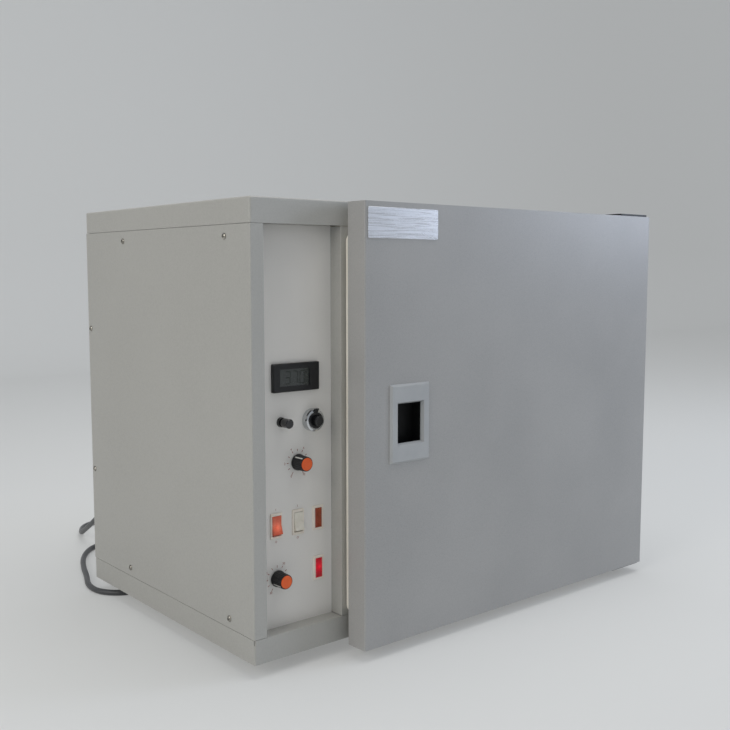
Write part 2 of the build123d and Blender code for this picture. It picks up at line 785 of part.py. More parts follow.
def make_lamp(centre, label):
    """Makes a lamp's lens and returns the lamp's body."""
    x, z = on_panel(centre)
    with BuildPart() as body:
        with BuildSketch(facing_front(film_y)):
            with Locations((x, z)):
                RectangleRounded(*lamp_size, 0.8)
        extrude(amount=lamp_bezel)
        chamfer(body.faces().sort_by(Axis.Y)[0].edges(), 0.4)
        with BuildSketch(facing_front(film_y)):
            with Locations((x, z)):
                Rectangle(*lamp_body)
        extrude(amount=-lamp_depth)
        with BuildSketch(facing_front(film_y - lamp_bezel)):
            with Locations((x, z)):
                Rectangle(*lamp_lens)
        extrude(amount=-lens_seat, mode=Mode.SUBTRACT)
    with BuildPart() as lens:
        with BuildSketch(facing_front(film_y - lamp_bezel + lens_seat)):
            with Locations((x, z)):
                Rectangle(lamp_lens[0] - 0.1, lamp_lens[1] - 0.1)
        extrude(amount=lens_seat + lens_proud)
        fillet(lens.faces().sort_by(Axis.Y)[0].edges(), 0.5)
    save(lens, label + "_lens")
    return body


heat_body = make_lamp(heat_lamp_centre, "heat_lamp")
cutout_body = make_lamp(cutout_lamp_centre, "cutout_lamp")
save_group([heat_body, cutout_body], "lamp_bodies")

# Rotary controls: case and bush behind and through the panel, shaft, knob and cap
shaft_radius = 3.0
nut_thickness = 1.8
nut_radius = 5.4
knob_length = 14.2
knob_gap = 0.8
knob_rear_radius = 7.8
knob_front_radius = 7.4
knob_hollow_radius = 6.2
knob_hollow_depth = 3.0
cap_radius = 6.0
cap_seat = 1.2
cap_proud = 0.8
case_depth = 12.0
case_radius = 12.0


def make_rotary(centre, label, radius, depth):
    """Makes a knob on its shaft and the knob's cap, and returns the case with its bush and nut."""
    x, z = on_panel(centre)
    rear = facing_front(panel_back, x, z)
    with BuildPart() as case:
        with BuildSketch(rear):
            Circle(radius)
            with Locations((0, -radius * 0.8)):
                Rectangle(radius * 1.2, radius * 0.8)
        extrude(amount=-depth)
        with BuildSketch(rear):
            Circle(bush_radius)
        extrude(amount=panel_back - film_y + nut_thickness + 1.0)
        with BuildSketch(facing_front(film_y, x, z)):
            RegularPolygon(nut_radius, 6)
        extrude(amount=nut_thickness)
        with BuildSketch(rear):
            Circle(shaft_radius + running_gap)
        extrude(amount=-depth / 2, mode=Mode.SUBTRACT)
        with BuildSketch(rear):
            Circle(shaft_radius + running_gap)
        extrude(amount=panel_back - film_y + nut_thickness + 2.0, mode=Mode.SUBTRACT)

    knob_rear = film_y - knob_gap
    shaft_end = panel_back + depth / 2 - fit_gap
    with BuildPart() as knob:
        with BuildSketch(facing_front(shaft_end, x, z)):
            Circle(shaft_radius)
        extrude(amount=shaft_end - knob_rear + knob_length - cap_seat - 1.0)
        turned(
            facing_front(knob_rear, x, z),
            [
                (shaft_radius, knob_hollow_depth),
                (knob_hollow_radius, knob_hollow_depth),
                (knob_hollow_radius, 0),
                (knob_rear_radius, 0),
                (knob_front_radius, knob_length - 0.8),
                (knob_front_radius - 0.8, knob_length),
                (cap_radius, knob_length),
                (cap_radius, knob_length - cap_seat),
                (0, knob_length - cap_seat),
                (0, knob_length - cap_seat - 2.0),
                (shaft_radius, knob_length - cap_seat - 2.0),
            ],
        )
    save(knob, label + "_knob")

    with BuildPart() as cap:
        turned(
            facing_front(knob_rear, x, z),
            [
                (0, knob_length - cap_seat),
                (cap_radius, knob_length - cap_seat),
                (cap_radius, knob_length + cap_proud * 0.4),
                (cap_radius - 0.8, knob_length + cap_proud),
                (0, knob_length + cap_proud),
            ],
        )
    save(cap, label + "_knob_cap")
    return case


speed_potentiometer = make_rotary(speed_centre, "speed", case_radius, case_depth)
cutout_thermostat = make_rotary(cutout_centre, "cutout", case_radius + 4.0, case_depth * 2)
save(cutout_thermostat, "cutout_thermostat")

# Ten-turn dial: potentiometer, fixed counting housing, knob with its counting disc, and brake lever
housing_radius = 10.8
housing_depth = 7.0
housing_bore = 6.4
dial_knob_radius = 5.0
dial_knob_reach = 13.2
brake_thickness = 0.9
brake_inner_radius = 5.6
brake_outer_radius = 7.6
brake_tab_radius = 11.6
brake_tab_angle = 26.0
dial_x, dial_z = on_panel(dial_centre)
housing_front = film_y - housing_depth
with BuildPart() as dial_potentiometer:
    with BuildSketch(facing_front(panel_back, dial_x, dial_z)):
        Circle(case_radius - 1.0)
    extrude(amount=-2 * case_depth)
    with BuildSketch(facing_front(panel_back, dial_x, dial_z)):
        Circle(dial_bush_radius)
    extrude(amount=panel_back - film_y + 3.0)
    drill(facing_front(film_y - 4.0, dial_x, dial_z), shaft_radius + running_gap, case_depth)
save_group([speed_potentiometer, dial_potentiometer], "potentiometers")

with BuildPart() as dial_housing:
    turned(
        facing_front(film_y, dial_x, dial_z),
        [
            (dial_bush_radius, 0),
            (housing_radius, 0),
            (housing_radius, housing_depth - 2.0),
            (housing_radius - 0.6, housing_depth - 0.6),
            (housing_radius - 2.0, housing_depth),
            (housing_bore, housing_depth),
            (housing_bore, 2.0),
            (dial_bush_radius, 2.0),
        ],
    )
    with BuildSketch(facing_front(housing_front, dial_x, dial_z)):
        with Locations((0, (housing_bore + housing_radius) / 2)):
            Rectangle(3.0, 2.2)
    extrude(amount=-1.0, mode=Mode.SUBTRACT)
save(dial_housing, "dial_housing")

with BuildPart() as dial_knob:
    with BuildSketch(facing_front(film_y - 4.0 + case_depth - fit_gap, dial_x, dial_z)):
        Circle(shaft_radius)
    extrude(amount=case_depth - fit_gap + dial_knob_reach - 4.0 - 1.0)
    turned(
        facing_front(film_y, dial_x, dial_z),
        [
            (shaft_radius, 3.6),
            (housing_bore - contact_gap, 3.6),
            (housing_bore - contact_gap, housing_depth - 0.4),
            (dial_knob_radius, housing_depth - 0.4),
            (dial_knob_radius, dial_knob_reach - 0.6),
            (dial_knob_radius - 0.6, dial_knob_reach),
            (0, dial_knob_reach),
            (0, dial_knob_reach - 2.0),
            (shaft_radius, dial_knob_reach - 2.0),
        ],
    )
save(dial_knob, "dial_knob")

with BuildPart() as dial_brake_lever:
    with BuildSketch(facing_front(housing_front - fit_gap, dial_x, dial_z)):
        Circle(brake_outer_radius)
        with BuildLine():
            tab_half = radians(brake_tab_angle / 2)
            Polyline(
                (0, 0),
                (-brake_tab_radius * sin(tab_half), brake_tab_radius * cos(tab_half)),
                (0, brake_tab_radius),
                (brake_tab_radius * sin(tab_half), brake_tab_radius * cos(tab_half)),
                close=True,
            )
        make_face()
        Circle(brake_inner_radius, mode=Mode.SUBTRACT)
    extrude(amount=brake_thickness)
    with BuildSketch(facing_front(housing_front - fit_gap - brake_thickness, dial_x, dial_z)):
        with Locations((0, (brake_outer_radius + brake_tab_radius) / 2 + 0.8)):
            RectangleRounded(4.2, 2.0, 0.6)
    extrude(amount=1.4)
save(dial_brake_lever, "dial_brake_lever")

# Set button: a threaded case with a bezel, and a button on a stem
button_x, button_z = on_panel(button_centre)
button_travel = 2.3
button_bezel_length = 3.2
button_stem_radius = 3.4
button_radius = 4.4
button_length = 8.9
button_neck = button_travel + contact_gap
button_stroke_room = 3.0
with BuildPart() as set_button_case:
    turned(
        facing_front(film_y, button_x, button_z),
        [
            (button_stem_radius + running_gap, button_bezel_length),
            (button_bush_radius + 0.4, button_bezel_length),
            (button_bush_radius + 0.8, 0),
            (button_bush_radius, 0),
            (button_bush_radius, -8.0),
            (6.0, -8.0),
            (6.0, -22.0),
            (0, -22.0),
            (0, -10.0 - button_stroke_room),
            (button_stem_radius + running_gap, -10.0 - button_stroke_room),
        ],
    )
save(set_button_case, "set_button_case")

with BuildPart() as set_button:
    turned(
        facing_front(film_y, button_x, button_z),
        [
            (0, -10.0),
            (button_stem_radius, -10.0),
            (button_stem_radius, button_bezel_length + button_neck),
            (button_radius, button_bezel_length + button_neck),
            (button_radius, button_bezel_length + button_neck + button_length - 0.8),
            (button_radius - 0.8, button_bezel_length + button_neck + button_length),
            (0, button_bezel_length + button_neck + button_length),
        ],
    )
save(set_button, "set_button")

# Rotation drive: gear motor on standoffs, bush through the chamber's wall, shaft
standoff_length = 16.0
standoff_radius = 4.0
standoff_pitch = (50.0, 36.0)
gearbox_size = (62.0, 48.0)
gearbox_depth = 9.0
motor_radius = 24.0
motor_length = 22.0
output_radius = 3.0
drive_radius = 5.0
bush_flange = 2.0
gearbox_right = bulkhead_left - standoff_length
reel_axis = Axis((0, reel_y, reel_z), (1, 0, 0))
with BuildPart() as rotation_motor:
    with BuildSketch(facing_right(gearbox_right - gearbox_depth, reel_y, reel_z)):
        RectangleRounded(*gearbox_size, 8.0)
    extrude(amount=gearbox_depth)
    with BuildSketch(facing_right(gearbox_right - gearbox_depth, reel_y, reel_z)):
        Circle(motor_radius)
    extrude(amount=-motor_length)
    drill(facing_right(gearbox_right, reel_y, reel_z), output_radius + running_gap, gearbox_depth - 1.0)

with BuildPart() as motor_standoffs:
    with BuildSketch(facing_right(gearbox_right, reel_y, reel_z)):
        with GridLocations(*standoff_pitch, 2, 2):
            RegularPolygon(standoff_radius, 6)
    extrude(amount=standoff_length)
save_group([rotation_motor, motor_standoffs], "rotation_motor")

with BuildPart() as drive_bush:
    turned(
        facing_right(bulkhead_left, reel_y, reel_z),
        [
            (drive_radius + running_gap, -bush_flange),
            (drive_hole_radius + 3.0, -bush_flange),
            (drive_hole_radius + 3.0, 0),
            (drive_hole_radius, 0),
            (drive_hole_radius, chamber_left + 3.0 - bulkhead_left),
            (drive_radius + running_gap, chamber_left + 3.0 - bulkhead_left),
        ],
    )

# Reel: two rimmed end discs on a tube, joined by four rails that carry the bottle clips
disc_rim = 5.0
disc_window_radius = 20.0
disc_window_pitch = 64.0
hub_radius = 13.0
hub_length = 12.0
tube_radius = 7.0
rail_size = (14.0, 2.0)
clip_foot_angle = 18.0
clip_mouth_angle = 38.0
clip_lip = 8.0
rivet_radius = 1.6
rivet_head_radius = 2.8
rivet_head_height = 0.8
idler_radius = 4.0
idler_flange_radius = 12.0
clip_mid_radius = clip_inner_radius + clip_thickness / 2
rail_face = bottle_pitch_radius - clip_mid_radius * cos(radians(clip_foot_angle)) - clip_thickness / 2
drive_disc_x = chamber_left + reel_end_gap
idler_disc_x = chamber_right - reel_end_gap
reel_left = drive_disc_x + reel_plate
reel_right = idler_disc_x - reel_plate
reel_span = reel_right - reel_left
clip_stations = [reel_left + 0.22 * reel_span, reel_right - 0.22 * reel_span]
reel_angles = (0, 90, 180, 270)

with BuildPart() as drive_shaft:
    turned(
        facing_right(gearbox_right, reel_y, reel_z),
        [
            (0, -gearbox_depth + 2.0),
            (output_radius, -gearbox_depth + 2.0),
            (output_radius, 4.0),
            (drive_radius, 4.0),
            (drive_radius, reel_left + 24.0 - gearbox_right),
            (0, reel_left + 24.0 - gearbox_right),
        ],
    )


def make_disc(inner_face, outward, bore):
    """Returns an end disc: its inner face lies at inner_face, and its rim turns outwards."""
    with BuildPart() as disc:
        turned(
            Plane(origin=(inner_face, reel_y, reel_z), x_dir=(0, 1, 0), z_dir=(outward, 0, 0)),
            [
                (bore, 0),
                (reel_radius, 0),
                (reel_radius, disc_rim),
                (reel_radius - reel_plate, disc_rim),
                (reel_radius - reel_plate, reel_plate),
                (bore, reel_plate),
            ],
        )
        with BuildSketch(facing_right(inner_face, reel_y, reel_z)):
            with PolarLocations(disc_window_pitch, 4, start_angle=45):
                Circle(disc_window_radius)
        extrude(amount=2 * reel_plate, both=True, mode=Mode.SUBTRACT)
    return disc


drive_disc = make_disc(reel_left, -1, drive_radius)
idler_disc = make_disc(reel_right, 1, drive_radius)
save_group([drive_disc, idler_disc], "reel_end_discs")

with BuildPart() as drive_hub:
    turned(
        facing_left(drive_disc_x, reel_y, reel_z),
        [
            (drive_radius, 0),
            (hub_radius + 4.0, 0),
            (hub_radius + 4.0, 2.0),
            (hub_radius, 2.0),
            (hub_radius, hub_length - 1.0),
            (hub_radius - 1.0, hub_length),
            (drive_radius, hub_length),
        ],
    )

with BuildPart() as idler_hub:
    turned(
        facing_right(idler_disc_x, reel_y, reel_z),
        [
            (0, 0),
            (hub_radius + 4.0, 0),
            (hub_radius + 4.0, 2.0),
            (hub_radius, 2.0),
            (hub_radius, hub_length - 1.0),
            (hub_radius - 1.0, hub_length),
            (idler_radius + running_gap, hub_length),
            (idler_radius + running_gap, 1.0),
            (0, 1.0),
        ],
    )

with BuildPart() as idler_pin:
    turned(
        facing_left(chamber_right, reel_y, reel_z),
        [
            (0, 0),
            (idler_flange_radius, 0),
            (idler_flange_radius, 2.0),
            (idler_radius + 2.0, 3.0),
            (idler_radius, 3.0),
            (idler_radius, reel_end_gap - 2.5),
            (idler_radius - 1.0, reel_end_gap - 1.5),
            (0, reel_end_gap - 1.5),
        ],
    )
save_group([drive_bush, idler_pin], "reel_bearings")

with BuildPart() as reel_tube:
    with BuildSketch(facing_right(reel_left, reel_y, reel_z)):
        Circle(tube_radius)
        Circle(drive_radius, mode=Mode.SUBTRACT)
    extrude(amount=reel_span)
save_group([drive_shaft, drive_hub, reel_tube, idler_hub], "reel_axle")


def reel_spoke(x, angle):
    """Plane across the reel at x, with its sketch Y pointing out of the axis at the angle given."""
    turn = radians(angle)
    outward = Vector(0, sin(turn), cos(turn))
    return Plane(origin=(x, reel_y, reel_z), x_dir=outward.cross(Vector(1, 0, 0)), z_dir=(1, 0, 0))


def rivet_seats():
    """Planes on the rails' outer faces, under each clip, with their normals away from the axis."""
    seats = []
    for x in clip_stations:
        for angle in reel_angles:
            turn = radians(angle)
            outward = Vector(0, sin(turn), cos(turn))
            spot = Vector(x, reel_y, reel_z) + outward * rail_face
            seats.append(Plane(origin=spot, x_dir=(1, 0, 0), z_dir=outward))
    return seats


with BuildPart() as reel_rails:
    for angle in reel_angles:
        with BuildSketch(reel_spoke(reel_left, angle)):
            with Locations((0, rail_face - rail_size[1] / 2)):
                Rectangle(*rail_size)
        extrude(amount=reel_span)
    for seat in rivet_seats():
        drill(seat, rivet_radius, 2 * rail_size[1])
save(reel_rails, "reel_rails")


def make_clips(x):
    """Returns four spring clips: a flat foot on the rail, two sprung arms and flared lips."""
    foot_end = radians(clip_foot_angle)
    arm_end = radians(clip_mouth_angle)
    with BuildPart() as clips:
        for angle in reel_angles:
            spoke = reel_spoke(x - clip_width / 2, angle)
            with BuildSketch(spoke):
                with BuildLine() as centre_line:
                    foot = clip_mid_radius * sin(foot_end)
                    low = bottle_pitch_radius - clip_mid_radius * cos(foot_end)
                    reach = clip_mid_radius * cos(arm_end)
                    high = bottle_pitch_radius + clip_mid_radius * sin(arm_end)
                    bulge_angle = radians(15)
                    bulge = clip_mid_radius * cos(bulge_angle)
                    bulge_height = bottle_pitch_radius - clip_mid_radius * sin(bulge_angle)
                    Line((-foot, low), (foot, low))
                    for side in (-1, 1):
                        ThreePointArc(
                            (side * foot, low),
                            (side * bulge, bulge_height),
                            (side * reach, high),
                        )
                        lip_end = (side * (reach + clip_lip * 0.75), high + clip_lip * 0.66)
                        Line((side * reach, high), lip_end)
                trace(line_width=clip_thickness)
            extrude(amount=clip_width)
        for seat in rivet_seats():
            drill(seat.offset(2 * clip_thickness), rivet_radius, 3 * clip_thickness)
    return clips


save_group([make_clips(x) for x in clip_stations], "bottle_clips")

with BuildPart() as clip_rivets:
    for seat in rivet_seats():
        turned(
            seat,
            [
                (0, clip_thickness + rivet_head_height),
                (rivet_head_radius * 0.6, clip_thickness + rivet_head_height),
                (rivet_head_radius, clip_thickness),
                (rivet_radius, clip_thickness),
                (rivet_radius, -rail_size[1]),
                (rivet_head_radius, -rail_size[1]),
                (rivet_head_radius * 0.6, -rail_size[1] - rivet_head_height),
                (0, -rail_size[1] - rivet_head_height),
            ],
        )
save(clip_rivets, "clip_rivets")

# Fan: impeller with curved blades between a back plate and a shroud ring, on the motor's shaft
fan_plate = 1.2
blade_width = 18.0
blade_count = 16
blade_inner_radius = 38.0
blade_sweep = 24.0
fan_hub_radius = 8.0
fan_back = chamber_rear - 8.0
fan_front = fan_back - fan_plate - blade_width
motor_plate_size = 84.0
bell_depth = 4.0
core_size = (58.0, 50.0)
core_depth = 18.0
plate_back = insulation_back + sheet
core_front = plate_back + bell_depth
core_back = core_front + core_depth
with BuildPart() as fan_impeller:
    with BuildSketch(facing_front(fan_back, chamber_x, chamber_z)):
        Circle(fan_radius)
    extrude(amount=fan_plate)
    with BuildSketch(facing_front(fan_back - fan_plate, chamber_x, chamber_z)):
        with PolarLocations(0, blade_count):
            with BuildLine():
                lead = Vector(blade_inner_radius, 0)
                sweep_angle = radians(blade_sweep)
                tip = Vector((fan_radius - 1.0) * cos(sweep_angle), (fan_radius - 1.0) * sin(sweep_angle))
                RadiusArc(lead, tip, 26.0)
            trace(line_width=fan_plate)
    extrude(amount=blade_width)
    with BuildSketch(facing_front(fan_front, chamber_x, chamber_z)):
        Circle(fan_radius)
        Circle(blade_inner_radius, mode=Mode.SUBTRACT)
    extrude(amount=fan_plate)
    with BuildSketch(facing_front(fan_back - fan_plate, chamber_x, chamber_z)):
        Circle(fan_hub_radius)
    extrude(amount=blade_width * 0.7)
    with BuildSketch(facing_front(core_back, chamber_x, chamber_z)):
        Circle(shaft_radius)
    extrude(amount=core_back - fan_back + fan_plate + blade_width * 0.8)
save(fan_impeller, "fan_impeller")

with BuildPart() as fan_motor_plate:
    with BuildSketch(facing_front(insulation_back, chamber_x, chamber_z)):
        RectangleRounded(motor_plate_size, motor_plate_size, 6.0)
        Circle(shaft_hole_radius, mode=Mode.SUBTRACT)
    extrude(amount=-sheet)

with BuildPart() as fan_motor_pillars:
    for x, z in pillar_places:
        with BuildSketch(facing_front(insulation_back, x, z)):
            Circle(pillar_radius)
        extrude(amount=insulation_back - liner_back)

with BuildPart() as fan_motor:
    with BuildSketch(facing_front(core_front, chamber_x, chamber_z)):
        RectangleRounded(*core_size, 3.0)
    extrude(amount=-core_depth)
    with BuildSketch(facing_front(plate_back, chamber_x, chamber_z)):
        Circle(core_size[1] * 0.4)
    extrude(amount=-bell_depth)
    with BuildSketch(facing_front(core_back, chamber_x, chamber_z)):
        Circle(core_size[1] * 0.36)
    extrude(amount=-bell_depth)
    motor_bore = shaft_radius + running_gap
    drill(facing_front(plate_back, chamber_x, chamber_z), motor_bore, bell_depth + core_depth + 1.0)
save_group([fan_motor, fan_motor_plate, fan_motor_pillars], "fan_motor")

# Heater: a tubular element bent into a ring round the fan, its two legs through the rear wall
heater_y = chamber_rear - 17.0
heater_end = insulation_back + 8.0
with BuildPart() as heater_element:
    with BuildLine() as heater_path:
        for side, (leg_x, leg_z) in zip((-1, 1), heater_places):
            ring_end = Vector(chamber_x + side * heater_ring_end[0], heater_y, chamber_z - heater_ring_end[1])
            bend_centre = ring_end + Vector(0, heater_bend, 0)
            leg_front = Vector(leg_x, heater_y + heater_bend, leg_z)
            toward_leg = (leg_front - bend_centre).normalized()
            halfway = (toward_leg + Vector(0, -1, 0)).normalized()
            Line((leg_x, heater_end, leg_z), leg_front)
            ThreePointArc(leg_front, bend_centre + halfway * heater_bend, ring_end)
        ring_top = (chamber_x, heater_y, chamber_z + heater_ring_radius)
        left_end = (chamber_x - heater_ring_end[0], heater_y, chamber_z - heater_ring_end[1])
        right_end = (chamber_x + heater_ring_end[0], heater_y, chamber_z - heater_ring_end[1])
        ThreePointArc(left_end, ring_top, right_end)
    with BuildSketch(facing_front(heater_end, *heater_places[0])):
        Circle(heater_tube_radius)
    sweep(path=heater_path.wires()[0])
save(heater_element, "heater_element")

# Air baffle in front of the fan: intake slots at its centre, air leaves at its top and bottom edges
baffle_side_gap = 35.0
baffle_end_gap = 22.0
baffle_half_width = chamber_width / 2 - baffle_side_gap
baffle_half_height = chamber_height / 2 - baffle_end_gap
baffle_foot = 10.0
intake_slot_circle = 36.0
intake_slot_count = 16
intake_slot = (24.0, 5.0)
intake_hole_circle = 12.0
intake_hole_count = 6
intake_hole_radius = 3.5
baffle_y = chamber_rear - baffle_depth
with BuildPart() as air_baffle:
    with BuildSketch(Plane.XY.offset(chamber_z - baffle_half_height)):
        with BuildLine():
            inner_half = baffle_half_width - liner_wall
            Polyline(
                (chamber_x - baffle_half_width - baffle_foot, chamber_rear),
                (chamber_x - baffle_half_width - baffle_foot, chamber_rear - liner_wall),
                (chamber_x - baffle_half_width, chamber_rear - liner_wall),
                (chamber_x - baffle_half_width, baffle_y),
                (chamber_x + baffle_half_width, baffle_y),
                (chamber_x + baffle_half_width, chamber_rear - liner_wall),
                (chamber_x + baffle_half_width + baffle_foot, chamber_rear - liner_wall),
                (chamber_x + baffle_half_width + baffle_foot, chamber_rear),
                (chamber_x + inner_half, chamber_rear),
                (chamber_x + inner_half, baffle_y + liner_wall),
                (chamber_x - inner_half, baffle_y + liner_wall),
                (chamber_x - inner_half, chamber_rear),
                close=True,
            )
        make_face()
    extrude(amount=2 * baffle_half_height)
    with BuildSketch(facing_front(baffle_y, chamber_x, chamber_z)):
        with PolarLocations(intake_slot_circle, intake_slot_count):
            SlotOverall(*intake_slot)
        with PolarLocations(intake_hole_circle, intake_hole_count):
            Circle(intake_hole_radius)
    extrude(amount=-2 * liner_wall, mode=Mode.SUBTRACT)
save(air_baffle, "air_baffle")

probe_reach = 102.0
probe_collar = 2.0
probe_collar_length = 6.0
probe_tip = 1.0
with BuildPart() as temperature_probe:
    turned(
        facing_front(insulation_back + probe_collar_length, *probe_place),
        [
            (0, 0),
            (probe_radius + probe_collar, 0),
            (probe_radius + probe_collar, probe_collar_length),
            (probe_radius, probe_collar_length),
            (probe_radius, probe_reach),
            (probe_radius - probe_tip, probe_reach + probe_tip),
            (0, probe_reach + probe_tip),
        ],
    )
save(temperature_probe, "temperature_probe")

# Electronics in the control column
board_gap = 10.0
board_size = (120.0, 140.0)
board_from_rear = 103.0
board_from_base = 165.0
board_centre = (rear_y - board_from_rear, base_z + board_from_base)
standoff_inset = 6.0
standoff_radius = 3.2
capacitor_places = [(-36.0, 40.0), (-36.0, 16.0)]
capacitor_radius = 9.0
capacitor_height = 24.0
relay_places = [(8.0, 44.0), (8.0, 20.0), (36.0, 30.0)]
relay_size = (20.0, 16.0)
relay_height = 15.0
logic_place = (-10.0, -34.0)
logic_size = (64.0, 30.0)
logic_height = 4.0
board_right = bulkhead_left - board_gap
with BuildPart() as control_board:
    with BuildSketch(facing_right(board_right, *board_centre)):
        RectangleRounded(*board_size, 3.0)
    extrude(amount=-board_thickness)

with BuildPart() as board_standoffs:
    with BuildSketch(facing_right(board_right, *board_centre)):
        with GridLocations(board_size[0] - 2 * standoff_inset, board_size[1] - 2 * standoff_inset, 2, 2):
            RegularPolygon(standoff_radius, 6)
    extrude(amount=board_gap)

parts_face = board_right - board_thickness
with BuildPart() as board_parts:
    with BuildSketch(facing_left(parts_face, *board_centre)):
        with Locations(*capacitor_places):
            Circle(capacitor_radius)
    extrude(amount=capacitor_height)
    with BuildSketch(facing_left(parts_face, *board_centre)):
        with Locations(*relay_places):
            RectangleRounded(*relay_size, 1.0)
    extrude(amount=relay_height)
    with BuildSketch(facing_left(parts_face, *board_centre)):
        with Locations(logic_place):
            Rectangle(*logic_size)
    extrude(amount=logic_height)
save_group([control_board, board_standoffs, board_parts], "control_board")

transformer_from_left = 46.0
transformer_from_rear = 121.0
transformer_foot = (76.0, 46.0)
transformer_foot_thickness = 2.0
transformer_core = (56.0, 24.0)
transformer_core_height = 48.0
winding_size = (38.0, 44.0)
winding_margin = 8.0
transformer_corner = 3.0
tray_floor = base_z + sheet
transformer_place = (left_x + transformer_from_left, rear_y - transformer_from_rear)
with BuildPart() as mains_transformer:
    with BuildSketch(Plane.XY.offset(tray_floor)):
        with Locations(transformer_place):
            RectangleRounded(*transformer_foot, transformer_corner)
    extrude(amount=transformer_foot_thickness)
    core_bottom = tray_floor + transformer_foot_thickness
    with BuildSketch(Plane.XY.offset(core_bottom)):
        with Locations(transformer_place):
            Rectangle(*transformer_core)
    extrude(amount=transformer_core_height)
    with BuildSketch(Plane.XY.offset(core_bottom + winding_margin)):
        with Locations(transformer_place):
            RectangleRounded(*winding_size, transformer_corner)
    extrude(amount=transformer_core_height - 2 * winding_margin)
save(mains_transformer, "mains_transformer")

block_from_left = 48.0
block_from_rear = 49.0
block_size = (60.0, 20.0)
block_height = 16.0
terminal_pitch = 10.0
terminal_count = 5
terminal_radius = 2.2
terminal_depth = 8.0
block_place = (left_x + block_from_left, rear_y - block_from_rear)
with BuildPart() as terminal_block:
    with BuildSketch(Plane.XY.offset(tray_floor)):
        with Locations(block_place):
            RectangleRounded(*block_size, 2.0)
    extrude(amount=block_height)
    with BuildSketch(Plane.XY.offset(tray_floor + block_height)):
        with Locations(block_place):
            with GridLocations(terminal_pitch, terminal_pitch, terminal_count, 2):
                Circle(terminal_radius)
    extrude(amount=-terminal_depth, mode=Mode.SUBTRACT)
save(terminal_block, "terminal_block")

# Door: a folded skin with the pull's opening, insulation, inner panel and gasket
pull_cup_inner = (39.0, 60.0)
pull_mouth_lip = 3.2
pull_bevel = 2.0
bush_outer_radius = 6.0
bush_length = 14.0
bush_flange_radius = 7.5
bush_flange_height = 0.4
hinge_clearance = 0.6
pull_x = door_left + pull_from_left + pull_width / 2
pull_z = base_z + pull_base + pull_height / 2
cup_outer = (pull_cup_inner[0] + 2 * pull_wall, pull_cup_inner[1] + 2 * pull_wall)
with BuildPart() as door_skin:
    with BuildSketch(facing_front(door_back)):
        with Locations((door_x, door_z)):
            Rectangle(door_width, door_height)
    extrude(amount=door_thickness)
    fillet(door_skin.edges().filter_by(Axis.Z).group_by(Axis.Y)[0], door_edge_radius)
    with BuildSketch(facing_front(door_back)):
        with Locations((door_x, door_z)):
            Rectangle(door_width - 2 * sheet, door_height - 2 * sheet)
    extrude(amount=door_thickness - sheet, mode=Mode.SUBTRACT)
    with BuildSketch(facing_front(door_front)):
        with Locations((pull_x, pull_z)):
            Rectangle(*cup_outer)
    extrude(amount=-2 * sheet, mode=Mode.SUBTRACT)
    with BuildSketch(Plane.XY.offset(door_bottom - 1.0)):
        with Locations((hinge_x, hinge_y)):
            Circle(bush_outer_radius)
    extrude(amount=door_height + 2.0, mode=Mode.SUBTRACT)
save(door_skin, "door_skin")

with BuildPart() as door_inner_panel:
    with BuildSketch(facing_front(door_back)):
        with Locations((door_x, door_z)):
            Rectangle(door_width - 2 * sheet, door_height - 2 * sheet)
    extrude(amount=sheet)
save(door_inner_panel, "door_inner_panel")

filling_front = door_front + sheet + soft_gap
filling_back = door_back - sheet - soft_gap
with BuildPart() as door_insulation:
    with BuildSketch(facing_front(filling_back)):
        with Locations((door_x, door_z)):
            Rectangle(door_width - 2 * (sheet + soft_gap), door_height - 2 * (sheet + soft_gap))
    extrude(amount=filling_back - filling_front)
    with BuildSketch(facing_front(door_front + pull_depth + pull_wall + soft_gap)):
        with Locations((pull_x, pull_z)):
            Rectangle(cup_outer[0] + 2 * soft_gap, cup_outer[1] + 2 * soft_gap)
    extrude(amount=pull_depth, mode=Mode.SUBTRACT)
    with BuildSketch(Plane.XY.offset(door_bottom)):
        with Locations((hinge_x, hinge_y)):
            Rectangle(2 * (bush_outer_radius + soft_gap) + sheet, door_thickness)
    extrude(amount=door_height, mode=Mode.SUBTRACT)
save(door_insulation, "door_insulation")

with BuildPart() as door_gasket:
    gasket_left = door_left + gasket_inset_left
    gasket_right = door_right - gasket_inset_right
    gasket_height = door_height - 2 * gasket_inset_z
    with BuildSketch(facing_front(door_back)):
        with Locations(((gasket_left + gasket_right) / 2, door_z)):
            RectangleRounded(gasket_right - gasket_left, gasket_height, gasket_corner)
            RectangleRounded(
                gasket_right - gasket_left - 2 * gasket_width,
                gasket_height - 2 * gasket_width,
                gasket_corner / 2,
                mode=Mode.SUBTRACT,
            )
    extrude(amount=-(door_gap - contact_gap))
save(door_gasket, "door_gasket")

# Door pull: a bevelled frame with a mouth, and the hollow cup behind it
with BuildPart() as door_pull:
    with BuildSketch(facing_front(door_front)):
        with Locations((pull_x, pull_z)):
            Rectangle(pull_width, pull_height)
    extrude(amount=pull_proud)
    chamfer(door_pull.faces().sort_by(Axis.Y)[0].edges(), pull_bevel)
    with BuildSketch(facing_front(door_front)):
        with Locations((pull_x, pull_z)):
            Rectangle(*cup_outer)
    extrude(amount=-(pull_depth + pull_wall))
    with BuildSketch(facing_front(door_front + pull_wall)):
        with Locations((pull_x, pull_z)):
            Rectangle(*pull_cup_inner)
    extrude(amount=-(pull_depth - pull_wall), mode=Mode.SUBTRACT)
    with BuildSketch(facing_front(door_front - pull_proud)):
        with Locations((pull_x, pull_z)):
            Rectangle(pull_mouth_width, pull_mouth_height)
    extrude(amount=-(pull_depth / 2), mode=Mode.SUBTRACT)
    mouth_edges = door_pull.faces().sort_by(Axis.Y)[0].inner_wires()[0].edges()
    chamfer(mouth_edges, pull_mouth_lip / 2, pull_mouth_lip)
save(door_pull, "door_pull")

